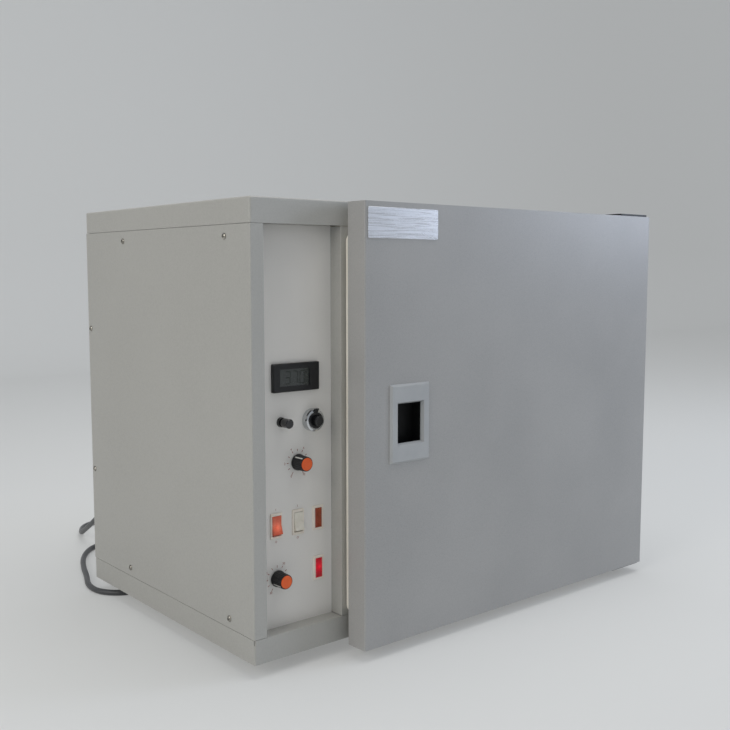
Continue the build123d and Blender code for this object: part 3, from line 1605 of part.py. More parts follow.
# Hinges: bushes in the door's top and bottom, and brackets with their pins on the cabinet
with BuildPart() as hinge_bushes:
    for face_z, upward in ((door_top, 1), (door_bottom, -1)):
        turned(
            Plane(origin=(hinge_x, hinge_y, face_z), x_dir=(1, 0, 0), z_dir=(0, 0, upward)),
            [
                (hinge_pin_radius + running_gap, bush_flange_height),
                (bush_flange_radius, bush_flange_height),
                (bush_flange_radius, 0),
                (bush_outer_radius, 0),
                (bush_outer_radius, -bush_length),
                (hinge_pin_radius + running_gap, -bush_length),
            ],
        )
save(hinge_bushes, "hinge_bushes")

hinge_reach = front_y - hinge_y + 8.0
hinge_upright = 22.0
with BuildPart() as hinge_brackets:
    for face_z, upward, seats in (
        (door_top + hinge_clearance, 1, hinge_screw_seats(upper_hinge_screw_z)),
        (door_bottom - hinge_clearance, -1, hinge_screw_seats(lower_hinge_screw_z)),
    ):
        with BuildSketch(Plane.XY.offset(face_z)):
            with Locations((hinge_bracket_x, front_y - hinge_reach / 2)):
                Rectangle(hinge_bracket_width, hinge_reach)
        extrude(amount=upward * hinge_plate)
        with BuildSketch(facing_front(front_y)):
            with Locations((hinge_bracket_x, face_z + upward * (hinge_plate - hinge_upright / 2))):
                Rectangle(hinge_bracket_width, hinge_upright)
        extrude(amount=hinge_plate)
        with BuildSketch(Plane.XY.offset(face_z)):
            with Locations((hinge_x, hinge_y)):
                Circle(hinge_pin_radius)
        extrude(amount=-upward * (bush_length + hinge_clearance - 1.0))
        for seat in seats:
            drill(seat, screw_hole_radius, 2 * hinge_plate)
save(hinge_brackets, "hinge_brackets")

# Magnets on the front frame that hold the closed door
magnet_size = (12.0, 40.0)
magnet_x = bulkhead_left + (chamber_left - bulkhead_left) / 2 + 6.0
with BuildPart() as catch_magnets:
    with BuildSketch(facing_front(front_y)):
        with Locations((magnet_x, chamber_z - 90.0), (magnet_x, chamber_z + 90.0)):
            Rectangle(*magnet_size)
    extrude(amount=door_gap - contact_gap)
save(catch_magnets, "catch_magnets")

# Mains cord: gland with its tapered boot, the run over the bench, the coil and the plug
cord_radius = cord_diameter / 2
cord_rest = cord_radius + 0.2
boot_length = 30.0
coil_section = cord_diameter
coil_lift = coil_section + 0.3
coil_radius = cord_coil_diameter / 2
coil_x = left_x + 337.0
coil_y = front_y + 428.0
coil_entry_z = 4.0
coil_lead = 30.0
with BuildPart() as mains_gland:
    turned(
        Plane(origin=(gland_place[0], rear_y, gland_place[1]), x_dir=(1, 0, 0), z_dir=(0, 1, 0)),
        [
            (0, -8.0),
            (gland_hole_radius + 3.0, -8.0),
            (gland_hole_radius + 3.0, -sheet),
            (gland_hole_radius, -sheet),
            (gland_hole_radius, 0),
            (gland_hole_radius + 3.0, 0),
            (gland_hole_radius + 3.0, 3.0),
            (gland_hole_radius, 5.0),
            (cord_radius + 1.0, boot_length),
            (0, boot_length),
        ],
    )
save(mains_gland, "mains_gland")

route = [
    (60, 365, 78), (60, 400, 78), (62, 440, 64), (66, 492, 34), (71, 527, 17), (79, 560, cord_rest),
    (97, 595, cord_rest), (133, 607, cord_rest), (165, 587, cord_rest), (170, 548, cord_rest),
    (143, 518, cord_rest), (102, 499, cord_rest), (61, 485, cord_rest), (35, 452, cord_rest),
    (17, 410, cord_rest), (5, 372, cord_rest), (-8, 340, cord_rest), (-8, 309, cord_rest),
    (14, 286, cord_rest), (50, 286, cord_rest), (103, 299, cord_rest), (160, 301, cord_rest),
    (213, 298, cord_rest), (262, 312, cord_rest), (300, 350, coil_entry_z),
]
coil_entry = Vector(coil_x - coil_radius, coil_y - coil_lead, coil_entry_z)
route_points = [Vector(left_x + x, front_y + y, z) for x, y, z in route] + [coil_entry]


def bend_radii(points):
    """Returns the bend radius at each inner point, so that its arc uses under half of each run."""
    radii = []
    for before, corner, after in zip(points, points[1:], points[2:]):
        entry = corner - before
        leaving = after - corner
        half_turn = radians(entry.get_angle(leaving)) / 2
        radii.append(0.45 * min(entry.length, leaving.length) / tan(half_turn))
    return radii


cord_radii = bend_radii(route_points)
with BuildPart() as mains_cord_run:
    with BuildLine() as cord_path:
        FilletPolyline(*route_points, radius=cord_radii)
    with BuildSketch(Plane(origin=route_points[0], z_dir=route_points[1] - route_points[0])):
        Circle(cord_radius)
    sweep(path=cord_path.wires()[0])
save(mains_cord_run, "mains_cord_run")
cord_length = cord_path.wires()[0].length
volume_ratio = mains_cord_run.part.volume / (pi * cord_radius**2 * cord_length)
print("cord radii", [round(radius) for radius in cord_radii])
print("cord length", round(cord_length), "volume ratio", round(volume_ratio, 4))

plug_tilt = radians(12.3)
plug_lead = 32.0
plug_direction = Vector(cos(plug_tilt), 0, sin(plug_tilt))
plug_leave = Vector(coil_x, coil_y + coil_radius, coil_lift)
plug_start = plug_leave + plug_direction * (plug_lead + 2 * running_gap)
with BuildPart() as mains_cord_coil:
    with BuildSketch(Plane(origin=(coil_x, coil_y, coil_lift), x_dir=(1, 0, 0), z_dir=(0, -1, 0))):
        with Locations((-coil_radius, 0)):
            Circle(coil_section)
    revolve(axis=Axis((coil_x, coil_y, coil_lift), (0, 0, 1)))
    with BuildSketch(Plane(origin=coil_entry, x_dir=(1, 0, 0), z_dir=(0, 1, 0))):
        Circle(cord_radius)
    extrude(amount=coil_lead)
    with BuildSketch(Plane(origin=plug_leave, x_dir=(0, 1, 0), z_dir=plug_direction)):
        Circle(cord_radius)
    extrude(amount=plug_lead)
save(mains_cord_coil, "mains_cord_coil")

plug_radius = 18.5
plug_shoulder = 22.0
plug_length = 54.0
pin_radius = 2.4
pin_pitch = 19.0
pin_length = 19.0
with BuildPart() as mains_plug:
    turned(
        Plane(origin=plug_start, x_dir=(0, 1, 0), z_dir=plug_direction),
        [
            (0, 0),
            (cord_radius + 1.2, 0),
            (cord_radius + 3.0, plug_shoulder * 0.6),
            (plug_radius - 3.0, plug_shoulder - 2.0),
            (plug_radius, plug_shoulder),
            (plug_radius, plug_length - 3.0),
            (plug_radius - 1.0, plug_length),
            (0, plug_length),
        ],
    )
    plug_face = plug_start + plug_direction * plug_length
    with BuildSketch(Plane(origin=plug_face, x_dir=(0, 1, 0), z_dir=plug_direction)):
        with GridLocations(pin_pitch, 0, 2, 1):
            Circle(pin_radius)
    extrude(amount=pin_length)
save(mains_plug, "mains_plug")
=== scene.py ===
"""Looks of a bench hybridization oven: finishes, printed scales, cord, small mouldings and the studio.

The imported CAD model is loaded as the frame. Lengths in the classes are millimetres in the model's
own axes, and become metres where a mesh is made.
"""

import logging
from dataclasses import dataclass, field
from enum import Enum
from math import cos, pi, radians, sin

import bmesh
import bpy
import numpy as np
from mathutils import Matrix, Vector


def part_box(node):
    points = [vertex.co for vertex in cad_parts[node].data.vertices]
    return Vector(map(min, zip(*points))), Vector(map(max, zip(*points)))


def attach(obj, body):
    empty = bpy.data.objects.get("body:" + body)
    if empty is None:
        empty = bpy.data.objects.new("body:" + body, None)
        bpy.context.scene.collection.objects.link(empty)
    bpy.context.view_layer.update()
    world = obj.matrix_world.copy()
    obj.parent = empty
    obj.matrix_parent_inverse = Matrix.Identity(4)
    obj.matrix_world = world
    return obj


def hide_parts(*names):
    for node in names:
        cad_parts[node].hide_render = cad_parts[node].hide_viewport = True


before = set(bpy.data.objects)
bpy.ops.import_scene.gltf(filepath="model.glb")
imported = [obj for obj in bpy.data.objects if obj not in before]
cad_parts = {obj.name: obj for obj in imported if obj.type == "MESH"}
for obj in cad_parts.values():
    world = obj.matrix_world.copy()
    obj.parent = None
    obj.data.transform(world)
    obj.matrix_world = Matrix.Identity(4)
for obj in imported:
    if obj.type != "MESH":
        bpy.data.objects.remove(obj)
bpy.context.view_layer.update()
MM = 0.001
# Radius of a ring that closes a turned form, so small that its points merge into one
POLE = 1e-4
# Share of a lens's glow that is there away from the neon
EVEN_GLOW = 0.12
log = logging.getLogger("oven")


# Finishes


class Pattern(Enum):
    """How a surface was made, which decides its fine pattern."""

    POWDER = "sprayed powder that flowed into a fine orange peel"
    BRUSHED = "abrasive belt lines along one axis"
    MOULDED = "spark-eroded mould grain"
    ROLLED = "mill-rolled sheet with cloudy patches"
    FIBRE = "felted mineral fibres"
    WOUND = "fine ribs left by extrusion"


@dataclass(frozen=True)
class Finish:
    """One real material with the way its surface was made.

    Attributes:
        colour: main sRGB hex colour.
        shade: second sRGB hex colour, mixed in by the cloudy pattern.
        pattern: the surface's pattern.
        grain: size of one grain of the pattern in millimetres.
        relief: height of the grain in millimetres.
        roughness: mean roughness.
        roughness_spread: how far the grain moves the roughness.
        metallic: 1 for bare metal.
        coat: clear-coat weight.
        sheen: sheen weight, for fibres and rubber.
        glow: emission strength, for lit plastic.
        along: axis along which brushing or ribs run, as 0, 1 or 2.
        cloud: size of one cloudy patch in millimetres.
        spot: half length of the brighter spot of a lit lens in millimetres.
    """

    colour: str
    shade: str
    pattern: Pattern
    grain: float
    relief: float
    roughness: float
    roughness_spread: float = 0.06
    metallic: float = 0.0
    coat: float = 0.0
    sheen: float = 0.0
    glow: float = 0.0
    along: int = 0
    cloud: float = 60.0
    spot: float = 0.0


# Grains have the size that the real surface has: orange peel over 1 mm, zinc spangle 6 mm, board
# tracks near 2 mm. Belt lines, mould grain and felted fibres are too fine to show in the render,
# so they are drawn coarser, from 0.4 to 2 mm.

# Epoxy powder coat on sheet steel: warm stone grey, a satin sheen and a fine orange peel
CABINET_POWDER = Finish(
    "#B3B2AD", "#AAA9A4", Pattern.POWDER,
    grain=1.5, relief=0.05, roughness=0.46, roughness_spread=0.08, cloud=140,
)
# The same paint in a cooler grey with a deeper peel, so the door's face sparkles slightly
DOOR_POWDER = Finish(
    "#ACABA9", "#909090", Pattern.POWDER,
    grain=1.2, relief=0.07, roughness=0.34, roughness_spread=0.12, cloud=120,
)
# Aluminium-white printed polyester film on the fascia: smooth, nearly matt
FASCIA_FILM = Finish(
    "#EAE7E2", "#E5E2DD", Pattern.MOULDED,
    grain=0.8, relief=0.01, roughness=0.36, roughness_spread=0.04, cloud=90,
)
# Galvanised steel of the hidden brackets: dull with soft spangle
ZINC_STEEL = Finish(
    "#9A9C9C", "#7F8284", Pattern.ROLLED,
    grain=6.0, relief=0.02, roughness=0.42, roughness_spread=0.15, metallic=1.0, cloud=9,
)
# Brushed stainless of the chamber: belt lines along the width blur its reflections
STAINLESS = Finish(
    "#D2D1CD", "#C8C7C3", Pattern.BRUSHED,
    grain=0.9, relief=0.012, roughness=0.36, roughness_spread=0.10, metallic=1.0,
)
# The same steel with the lines running upwards
STAINLESS_UPRIGHT = Finish(
    "#D2D1CD", "#C8C7C3", Pattern.BRUSHED,
    grain=0.9, relief=0.012, roughness=0.36, roughness_spread=0.10, metallic=1.0, along=2,
)
# Spring steel strip: bright, bluish and hard-rolled
SPRING_STEEL = Finish(
    "#C4C6CA", "#A9ADB4", Pattern.BRUSHED,
    grain=0.6, relief=0.006, roughness=0.20, roughness_spread=0.08, metallic=1.0,
)
# Anodised aluminium sheet: pale and even, with a soft highlight
ANODISED = Finish(
    "#C9CBCE", "#B9BCC0", Pattern.BRUSHED,
    grain=0.7, relief=0.008, roughness=0.34, roughness_spread=0.08, metallic=1.0, along=2,
)
# Bare aluminium plate fixed to the door: brushed across, brighter than the paint
BARE_PLATE = Finish(
    "#E2E3E6", "#D0D2D6", Pattern.BRUSHED,
    grain=0.8, relief=0.010, roughness=0.30, roughness_spread=0.10, metallic=1.0,
)
# Nickel-plated screws: bright with dull recesses
NICKEL_SCREW = Finish(
    "#B5B2AA", "#8D8A83", Pattern.ROLLED,
    grain=1.2, relief=0.01, roughness=0.28, roughness_spread=0.10, metallic=1.0, cloud=3,
)
# Polished chrome of the counting dial: nearly a mirror
DIAL_CHROME = Finish(
    "#D2D4D6", "#BFC2C4", Pattern.ROLLED,
    grain=2.0, relief=0.003, roughness=0.12, roughness_spread=0.05, metallic=1.0, cloud=8,
)
# Incoloy heater sheath, straw to blue from its first heats
HEATER_SHEATH = Finish(
    "#6E6259", "#4A4C58", Pattern.ROLLED,
    grain=3.0, relief=0.02, roughness=0.45, roughness_spread=0.15, metallic=1.0, cloud=22,
)
# Black oxide on the hinge brackets: dark with a dull shine
BLACK_OXIDE = Finish(
    "#1B1B1C", "#121213", Pattern.ROLLED,
    grain=1.5, relief=0.02, roughness=0.50, roughness_spread=0.10, cloud=10,
)
# Nitrile feet: black with a greyish bloom
NITRILE_RUBBER = Finish(
    "#171717", "#222222", Pattern.MOULDED,
    grain=0.9, relief=0.05, roughness=0.78, roughness_spread=0.08, sheen=0.2, cloud=12,
)
# Cream silicone extrusion of the door seal: soft, slightly waxy, its colour brightened almost to white with
# painted light for the lit strip beside the door
SEAL_SILICONE_PAINTED_LIGHT = Finish(
    "#F6F1E6", "#EEE8DB", Pattern.WOUND,
    grain=1.4, relief=0.03, roughness=0.55, roughness_spread=0.06, sheen=0.15, cloud=40,
)
# Felted mineral wool: straw-coloured, matt and woolly
MINERAL_WOOL = Finish(
    "#B7A676", "#8F7F55", Pattern.FIBRE,
    grain=1.6, relief=0.9, roughness=0.95, roughness_spread=0.03, sheen=0.3, cloud=18,
)
# Moulded black ABS bezel of the meter: a fine grain that dulls its shine
BLACK_ABS = Finish(
    "#0C0D10", "#131417", Pattern.MOULDED,
    grain=0.5, relief=0.015, roughness=0.34, roughness_spread=0.08, cloud=14,
)
# Smoky acrylic window of the meter: dark and glossy, with the crystal close behind it
SMOKED_ACRYLIC = Finish(
    "#303633", "#272C2A", Pattern.MOULDED,
    grain=2.0, relief=0.001, roughness=0.10, roughness_spread=0.02, coat=0.6, cloud=12,
)
# Reflective liquid-crystal glass: grey-green with a faint shine
CRYSTAL_GLASS = Finish(
    "#7B8578", "#707A6E", Pattern.MOULDED,
    grain=1.0, relief=0.002, roughness=0.22, roughness_spread=0.04, coat=0.3, cloud=20,
)
# Moulded cream polyamide of the switch and lamp frames: soft and half matt
CREAM_NYLON = Finish(
    "#F0E8DC", "#E8DFD1", Pattern.MOULDED,
    grain=0.5, relief=0.012, roughness=0.38, roughness_spread=0.06, cloud=10,
)
# Orange-pink translucent rocker with the neon burning behind it
LIT_ROCKER = Finish(
    "#C9573D", "#D06A50", Pattern.MOULDED,
    grain=0.6, relief=0.006, roughness=0.24, roughness_spread=0.05, glow=0.75, cloud=5, spot=9.0,
)
# Moulded off-white polycarbonate rocker: smooth with a soft shine
WHITE_ROCKER = Finish(
    "#EAE5D8", "#E1DBCD", Pattern.MOULDED,
    grain=0.6, relief=0.006, roughness=0.26, roughness_spread=0.05, cloud=6,
)
# Amber lens with its neon off: brown, glossy
AMBER_LENS = Finish(
    "#A2452A", "#8A3820", Pattern.MOULDED,
    grain=1.4, relief=0.01, roughness=0.14, roughness_spread=0.04, coat=0.5, cloud=5,
)
# Moulded red lens with its neon burning: brightest in front of the neon
RED_LENS = Finish(
    "#B00820", "#C20C26", Pattern.MOULDED,
    grain=1.4, relief=0.01, roughness=0.14, roughness_spread=0.04, coat=0.5, glow=0.95, cloud=5,
    spot=8.0,
)
# Charcoal glass-filled nylon of the knobs: matt and slightly grainy
KNOB_NYLON = Finish(
    "#17181B", "#101114", Pattern.MOULDED,
    grain=0.4, relief=0.02, roughness=0.48, roughness_spread=0.08, cloud=6,
)
# Moulded orange ABS caps of the knobs: even and smooth
CAP_ORANGE = Finish(
    "#EE6628", "#E65C20", Pattern.MOULDED,
    grain=0.5, relief=0.008, roughness=0.36, roughness_spread=0.05, cloud=6,
)
# Gloss black phenolic of the dial's knob and the set button: a hard, sharp highlight
BLACK_PHENOLIC = Finish(
    "#131314", "#1A1A1C", Pattern.MOULDED,
    grain=0.8, relief=0.004, roughness=0.18, roughness_spread=0.05, coat=0.3, cloud=6,
)
# Moulded grey ABS frame of the door's pull: fine grain, half matt
PULL_ABS = Finish(
    "#B3B5B5", "#ACAEAF", Pattern.MOULDED,
    grain=0.6, relief=0.015, roughness=0.36, roughness_spread=0.06, cloud=25,
)
# Near-black sheet inside the pull's cup: painted shade of its deep recess, so dull that the cup looks empty
PULL_PAINTED_SHADE = Finish(
    "#050506", "#08080A", Pattern.MOULDED,
    grain=0.7, relief=0.02, roughness=0.60, roughness_spread=0.08, cloud=15,
)
# Machined natural acetal of the bearings: off-white and slightly waxy
ACETAL = Finish(
    "#DCDBD4", "#CFCEC6", Pattern.MOULDED,
    grain=0.6, relief=0.005, roughness=0.34, roughness_spread=0.05, cloud=12,
)
# Ferrite magnets in their moulded black cases: dull
FERRITE = Finish(
    "#2A2A2B", "#202021", Pattern.MOULDED,
    grain=0.8, relief=0.02, roughness=0.55, roughness_spread=0.08, cloud=8,
)
# Green solder resist over the board's copper: glossy over faint tracks
SOLDER_RESIST = Finish(
    "#1E5B3A", "#174A2F", Pattern.ROLLED,
    grain=1.8, relief=0.03, roughness=0.32, roughness_spread=0.10, coat=0.2, cloud=4,
)
# Varnished laminations of the transformer: dark edges stacked as fine ribs
VARNISHED_STEEL = Finish(
    "#2E2B2A", "#3A3431", Pattern.WOUND,
    grain=0.8, relief=0.04, roughness=0.50, roughness_spread=0.10, coat=0.15, along=2, cloud=9,
)
# Extruded PVC sheath of the mains cord: dark grey with a soft shine
PVC_SHEATH = Finish(
    "#4B4C4E", "#434446", Pattern.WOUND,
    grain=1.2, relief=0.01, roughness=0.46, roughness_spread=0.06, sheen=0.1, cloud=30,
)
# Moulded PVC of the plug and the gland: a little darker and duller than the cord
PLUG_PVC = Finish(
    "#3A3A3C", "#333335", Pattern.MOULDED,
    grain=0.7, relief=0.02, roughness=0.50, roughness_spread=0.06, cloud=14,
)
# Rust-red screen ink of the scales: flat and matt
RED_INK = Finish(
    "#9C4A34", "#8E4230", Pattern.MOULDED,
    grain=0.6, relief=0.003, roughness=0.55, roughness_spread=0.04, cloud=4,
)
# White ink of the pointers: flat against the black knob
WHITE_INK = Finish(
    "#E6E4DE", "#DBD9D2", Pattern.MOULDED,
    grain=0.6, relief=0.003, roughness=0.50, roughness_spread=0.04, cloud=4,
)
# Dark segments of the liquid crystal: slightly darker than the window
SEGMENT_INK = Finish(
    "#2A302B", "#242A26", Pattern.MOULDED,
    grain=0.6, relief=0.001, roughness=0.40, roughness_spread=0.02, cloud=4,
)


def linear(colour: str) -> tuple[float, float, float, float]:
    """Turns an sRGB hex colour into Blender's linear values.

    Args:
        colour: sRGB colour, such as "#A0A0A0".

    Returns:
        Linear red, green, blue and an alpha of 1.
    """
    parts = [int(colour[i : i + 2], 16) / 255 for i in (1, 3, 5)]
    flat = [c / 12.92 if c <= 0.04045 else ((c + 0.055) / 1.055) ** 2.4 for c in parts]
    return (flat[0], flat[1], flat[2], 1.0)


def add_node(
    tree: bpy.types.NodeTree, kind: str, settings: dict | None = None, links: dict | None = None
) -> bpy.types.Node:
    """Adds a shader node, sets it and links its inputs.

    Args:
        tree: node tree that takes the node.
        kind: Blender's name for the node's type.
        settings: attribute or input name to value.
        links: input name or number to (node, output name or number).

    Returns:
        The new node.
    """
    node = tree.nodes.new(kind)
    for key, value in (settings or {}).items():
        if isinstance(key, int) or key in node.inputs:
            node.inputs[key].default_value = value
        else:
            setattr(node, key, value)
    for key, (source, output) in (links or {}).items():
        tree.links.new(source.outputs[output], node.inputs[key])
    return node


@dataclass
class Paintshop:
    """Makes each finish's material once and gives it to pieces."""

    made: dict[str, bpy.types.Material] = field(default_factory=dict)

    def stretch(self, finish: Finish) -> tuple[float, float, float]:
        """Works out how far the grain is drawn out along the brushing or ribs.

        Args:
            finish: the real material.

        Returns:
            Scale of the grain along X, Y and Z: below 1 is drawn out.
        """
        if finish.pattern is Pattern.BRUSHED:
            return tuple(0.02 if axis == finish.along else 1.0 for axis in range(3))
        if finish.pattern is Pattern.WOUND:
            return tuple(0.1 if axis == finish.along else 1.0 for axis in range(3))
        if finish.pattern is Pattern.FIBRE:
            return (1.0, 0.35, 1.0)
        return (1.0, 1.0, 1.0)

    def light(
        self, tree: bpy.types.NodeTree, finish: Finish, paint: bpy.types.Node, lit_at: tuple[float, ...]
    ) -> None:
        """Lights a lens from the neon behind it, brightest near the neon.

        The glow is strength (1 - distance / spot)^2 over a low even light.

        Args:
            tree: the material's nodes.
            finish: the lens's finish.
            paint: node that gives the lens's colour.
            lit_at: the neon's place in millimetres.
        """
        shader = tree.nodes["Principled BSDF"]
        place = add_node(tree, "ShaderNodeTexCoord")
        metres = tuple(value * MM for value in lit_at)
        reach = add_node(
            tree, "ShaderNodeVectorMath", {"operation": "DISTANCE", 1: metres}, {0: (place, "Object")}
        )
        near = add_node(
            tree,
            "ShaderNodeMapRange",
            {"From Min": 0.0, "From Max": finish.spot * MM, "To Min": 1.0, "To Max": 0.0},
            {"Value": (reach, "Value")},
        )
        square = add_node(tree, "ShaderNodeMath", {"operation": "POWER", 1: 2.0}, {0: (near, 0)})
        bright = add_node(
            tree,
            "ShaderNodeMath",
            {"operation": "MULTIPLY_ADD", 1: finish.glow, 2: EVEN_GLOW * finish.glow},
            {0: (square, 0)},
        )
        tree.links.new(paint.outputs[2], shader.inputs["Emission Color"])
        tree.links.new(bright.outputs[0], shader.inputs["Emission Strength"])

    def material(
        self, name: str, finish: Finish, lit_at: tuple[float, ...] = ()
    ) -> bpy.types.Material:
        """Builds a procedural material for a finish.

        Args:
            name: the material's name.
            finish: the real material.
            lit_at: the place of the neon behind a lit lens, in millimetres.

        Returns:
            The material, made once for each name.
        """
        if name in self.made:
            return self.made[name]
        material = bpy.data.materials.new(name)
        material.use_nodes = True
        tree = material.node_tree
        shader = tree.nodes["Principled BSDF"]
        place = add_node(tree, "ShaderNodeTexCoord")
        spread = add_node(
            tree,
            "ShaderNodeMapping",
            {"Scale": self.stretch(finish)},
            {"Vector": (place, "Object")},
        )
        # One noise period per grain: the frequency is periods per metre
        grain = add_node(
            tree,
            "ShaderNodeTexNoise",
            {"Scale": 1.0 / (finish.grain * MM), "Detail": 3.0, "Roughness": 0.55},
            {"Vector": (spread, "Vector")},
        )
        cloud = add_node(
            tree,
            "ShaderNodeTexNoise",
            {"Scale": 1.0 / (finish.cloud * MM), "Detail": 2.0, "Roughness": 0.5},
            {"Vector": (place, "Object")},
        )
        patchy = 0.3 if finish.pattern in (Pattern.POWDER, Pattern.BRUSHED) else 1.0
        patch = add_node(
            tree,
            "ShaderNodeMapRange",
            {"From Min": 0.35, "From Max": 0.65, "To Max": patchy},
            {"Value": (cloud, 0)},
        )
        fleck = add_node(
            tree,
            "ShaderNodeMapRange",
            {"From Min": 0.3, "From Max": 0.7, "To Min": -0.35, "To Max": 0.35},
            {"Value": (grain, 0)},
        )
        blend = add_node(
            tree, "ShaderNodeMath", {"operation": "ADD", "use_clamp": True}, {0: (patch, 0), 1: (fleck, 0)}
        )
        paint = add_node(
            tree,
            "ShaderNodeMix",
            {"data_type": "RGBA", 6: linear(finish.colour), 7: linear(finish.shade)},
            {0: (blend, 0)},
        )
        rough = add_node(
            tree,
            "ShaderNodeMapRange",
            {
                "From Min": 0.3,
                "From Max": 0.7,
                "To Min": max(0.02, finish.roughness - finish.roughness_spread),
                "To Max": min(1.0, finish.roughness + finish.roughness_spread),
            },
            {"Value": (grain, 0)},
        )
        bump = add_node(
            tree,
            "ShaderNodeBump",
            {"Strength": 0.6, "Distance": finish.relief * MM},
            {"Height": (grain, 0)},
        )
        tree.links.new(paint.outputs[2], shader.inputs["Base Color"])
        tree.links.new(rough.outputs[0], shader.inputs["Roughness"])
        tree.links.new(bump.outputs[0], shader.inputs["Normal"])
        shader.inputs["Metallic"].default_value = finish.metallic
        shader.inputs["Coat Weight"].default_value = finish.coat
        shader.inputs["Coat Roughness"].default_value = 0.12
        shader.inputs["Sheen Weight"].default_value = finish.sheen
        if lit_at:
            self.light(tree, finish, paint, lit_at)
        self.made[name] = material
        return material

    def dress(
        self, piece: bpy.types.Object, name: str, finish: Finish, lit_at: tuple[float, ...] = ()
    ) -> None:
        """Gives a piece one finish all over."""
        piece.data.materials.clear()
        piece.data.materials.append(self.material(name, finish, lit_at))


# Meshes


def grid_faces(rows: int, columns: int, wrap: bool) -> np.ndarray:
    """Lists the quads of a grid of points.

    Args:
        rows: number of point rows.
        columns: number of points in a row.
        wrap: True if each row closes on itself.

    Returns:
        An array of four point numbers for each quad.
    """
    last = columns if wrap else columns - 1
    row, column = np.meshgrid(np.arange(rows - 1), np.arange(last), indexing="ij")
    beside = (column + 1) % columns
    corners = [row * columns + column, row * columns + beside]
    corners += [(row + 1) * columns + beside, (row + 1) * columns + column]
    return np.stack(corners, axis=-1).reshape(-1, 4)


def turned_points(profile: np.ndarray, around: int) -> np.ndarray:
    """Turns a profile about the local Z axis: x = r cos t, y = r sin t, z = height.

    Args:
        profile: rows of radius and height.
        around: number of points round the axis.

    Returns:
        Points as an array of rows, columns and three coordinates.
    """
    turn = np.linspace(0, 2 * pi, around, endpoint=False)
    radius = profile[:, :1]
    x = radius * np.cos(turn)
    y = radius * np.sin(turn)
    z = np.repeat(profile[:, 1:], around, axis=1)
    return np.stack([x, y, z], axis=-1)


@dataclass(frozen=True)
class Seat:
    """A place on the model: an origin and two axes, in millimetres.

    Attributes:
        origin: the local origin in the model.
        across: the model's direction of local X.
        normal: the model's direction of local Z.
    """

    origin: tuple[float, float, float]
    across: tuple[float, float, float]
    normal: tuple[float, float, float]

    def place(self, points: np.ndarray) -> np.ndarray:
        """Moves local points to the model: origin + x across + y up + z normal.

        Args:
            points: local points in millimetres.

        Returns:
            One row of three coordinates for each point.
        """
        across, normal = np.array(self.across), np.array(self.normal)
        axes = np.stack([across, np.cross(normal, across), normal])
        return points.reshape(-1, 3) @ axes + np.array(self.origin)


def front_seat(x: float, y: float, z: float) -> Seat:
    """Seat that faces the front, with local X along the width and local Y up."""
    return Seat((x, y, z), (1, 0, 0), (0, -1, 0))


@dataclass
class Builder:
    """Collects points and faces into one piece, in millimetres."""

    name: str
    points: list[np.ndarray] = field(default_factory=list)
    faces: list[list[int]] = field(default_factory=list)

    def add(self, points: np.ndarray, faces: np.ndarray) -> None:
        """Adds placed points and the faces between them.

        Args:
            points: points in the model, in millimetres.
            faces: point numbers of each face, counted from the first of these points.
        """
        start = sum(len(block) for block in self.points)
        self.points.append(points.reshape(-1, 3))
        self.faces.extend((faces + start).tolist())

    def add_turned(self, seat: Seat, profile: list[tuple[float, float]], around: int = 48) -> None:
        """Adds a profile turned about the seat's normal.

        Args:
            seat: where the turned form stands.
            profile: (radius, height) pairs.
            around: number of points round the axis.
        """
        points = turned_points(np.array(profile, float), around)
        self.add(seat.place(points), grid_faces(len(profile), around, True))

    def add_bar(self, seat: Seat, size: tuple[float, float, float], turn: float = 0.0) -> None:
        """Adds a box on a seat, centred on it and standing on it, turned about its normal.

        Args:
            seat: where the box stands.
            size: length along local X, along local Y, and height.
            turn: turn about the normal in radians.
        """
        x, y, z = size[0] / 2, size[1] / 2, size[2]
        ring = np.array([(-x, -y), (x, -y), (x, y), (-x, y)])
        turned = ring @ np.array([[cos(turn), sin(turn)], [-sin(turn), cos(turn)]])
        points = np.concatenate([np.c_[turned, np.zeros(4)], np.c_[turned, np.full(4, z)]])
        faces = [(0, 3, 2, 1), (4, 5, 6, 7), (0, 1, 5, 4), (1, 2, 6, 5), (2, 3, 7, 6), (3, 0, 4, 7)]
        self.add(seat.place(points), np.array(faces))

    def finish(self, smooth: float = 35.0) -> bpy.types.Object:
        """Makes the object, merges its seams and poles, and turns its faces outwards.

        Args:
            smooth: edges flatter than this many degrees are shaded smooth.

        Returns:
            The new object, at the origin.
        """
        mesh = bpy.data.meshes.new(self.name)
        points = np.concatenate(self.points) * MM
        mesh.from_pydata(points.tolist(), [], self.faces)
        shape = bmesh.new()
        shape.from_mesh(mesh)
        bmesh.ops.remove_doubles(shape, verts=shape.verts, dist=1e-6)
        bmesh.ops.dissolve_degenerate(shape, edges=shape.edges, dist=1e-7)
        bmesh.ops.recalc_face_normals(shape, faces=shape.faces)
        shape.to_mesh(mesh)
        shape.free()
        mesh.polygons.foreach_set("use_smooth", [True] * len(mesh.polygons))
        mesh.set_sharp_from_angle(angle=radians(smooth))
        piece = bpy.data.objects.new(self.name, mesh)
        bpy.context.scene.collection.objects.link(piece)
        return piece


def middle(node: str) -> np.ndarray:
    """Centre of a CAD node's box in millimetres."""
    low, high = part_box(node)
    return (np.array(low) + np.array(high)) / 2 / MM


def corners(node: str) -> tuple[np.ndarray, np.ndarray]:
    """Lowest and highest corner of a CAD node in millimetres."""
    low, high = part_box(node)
    return np.array(low) / MM, np.array(high) / MM


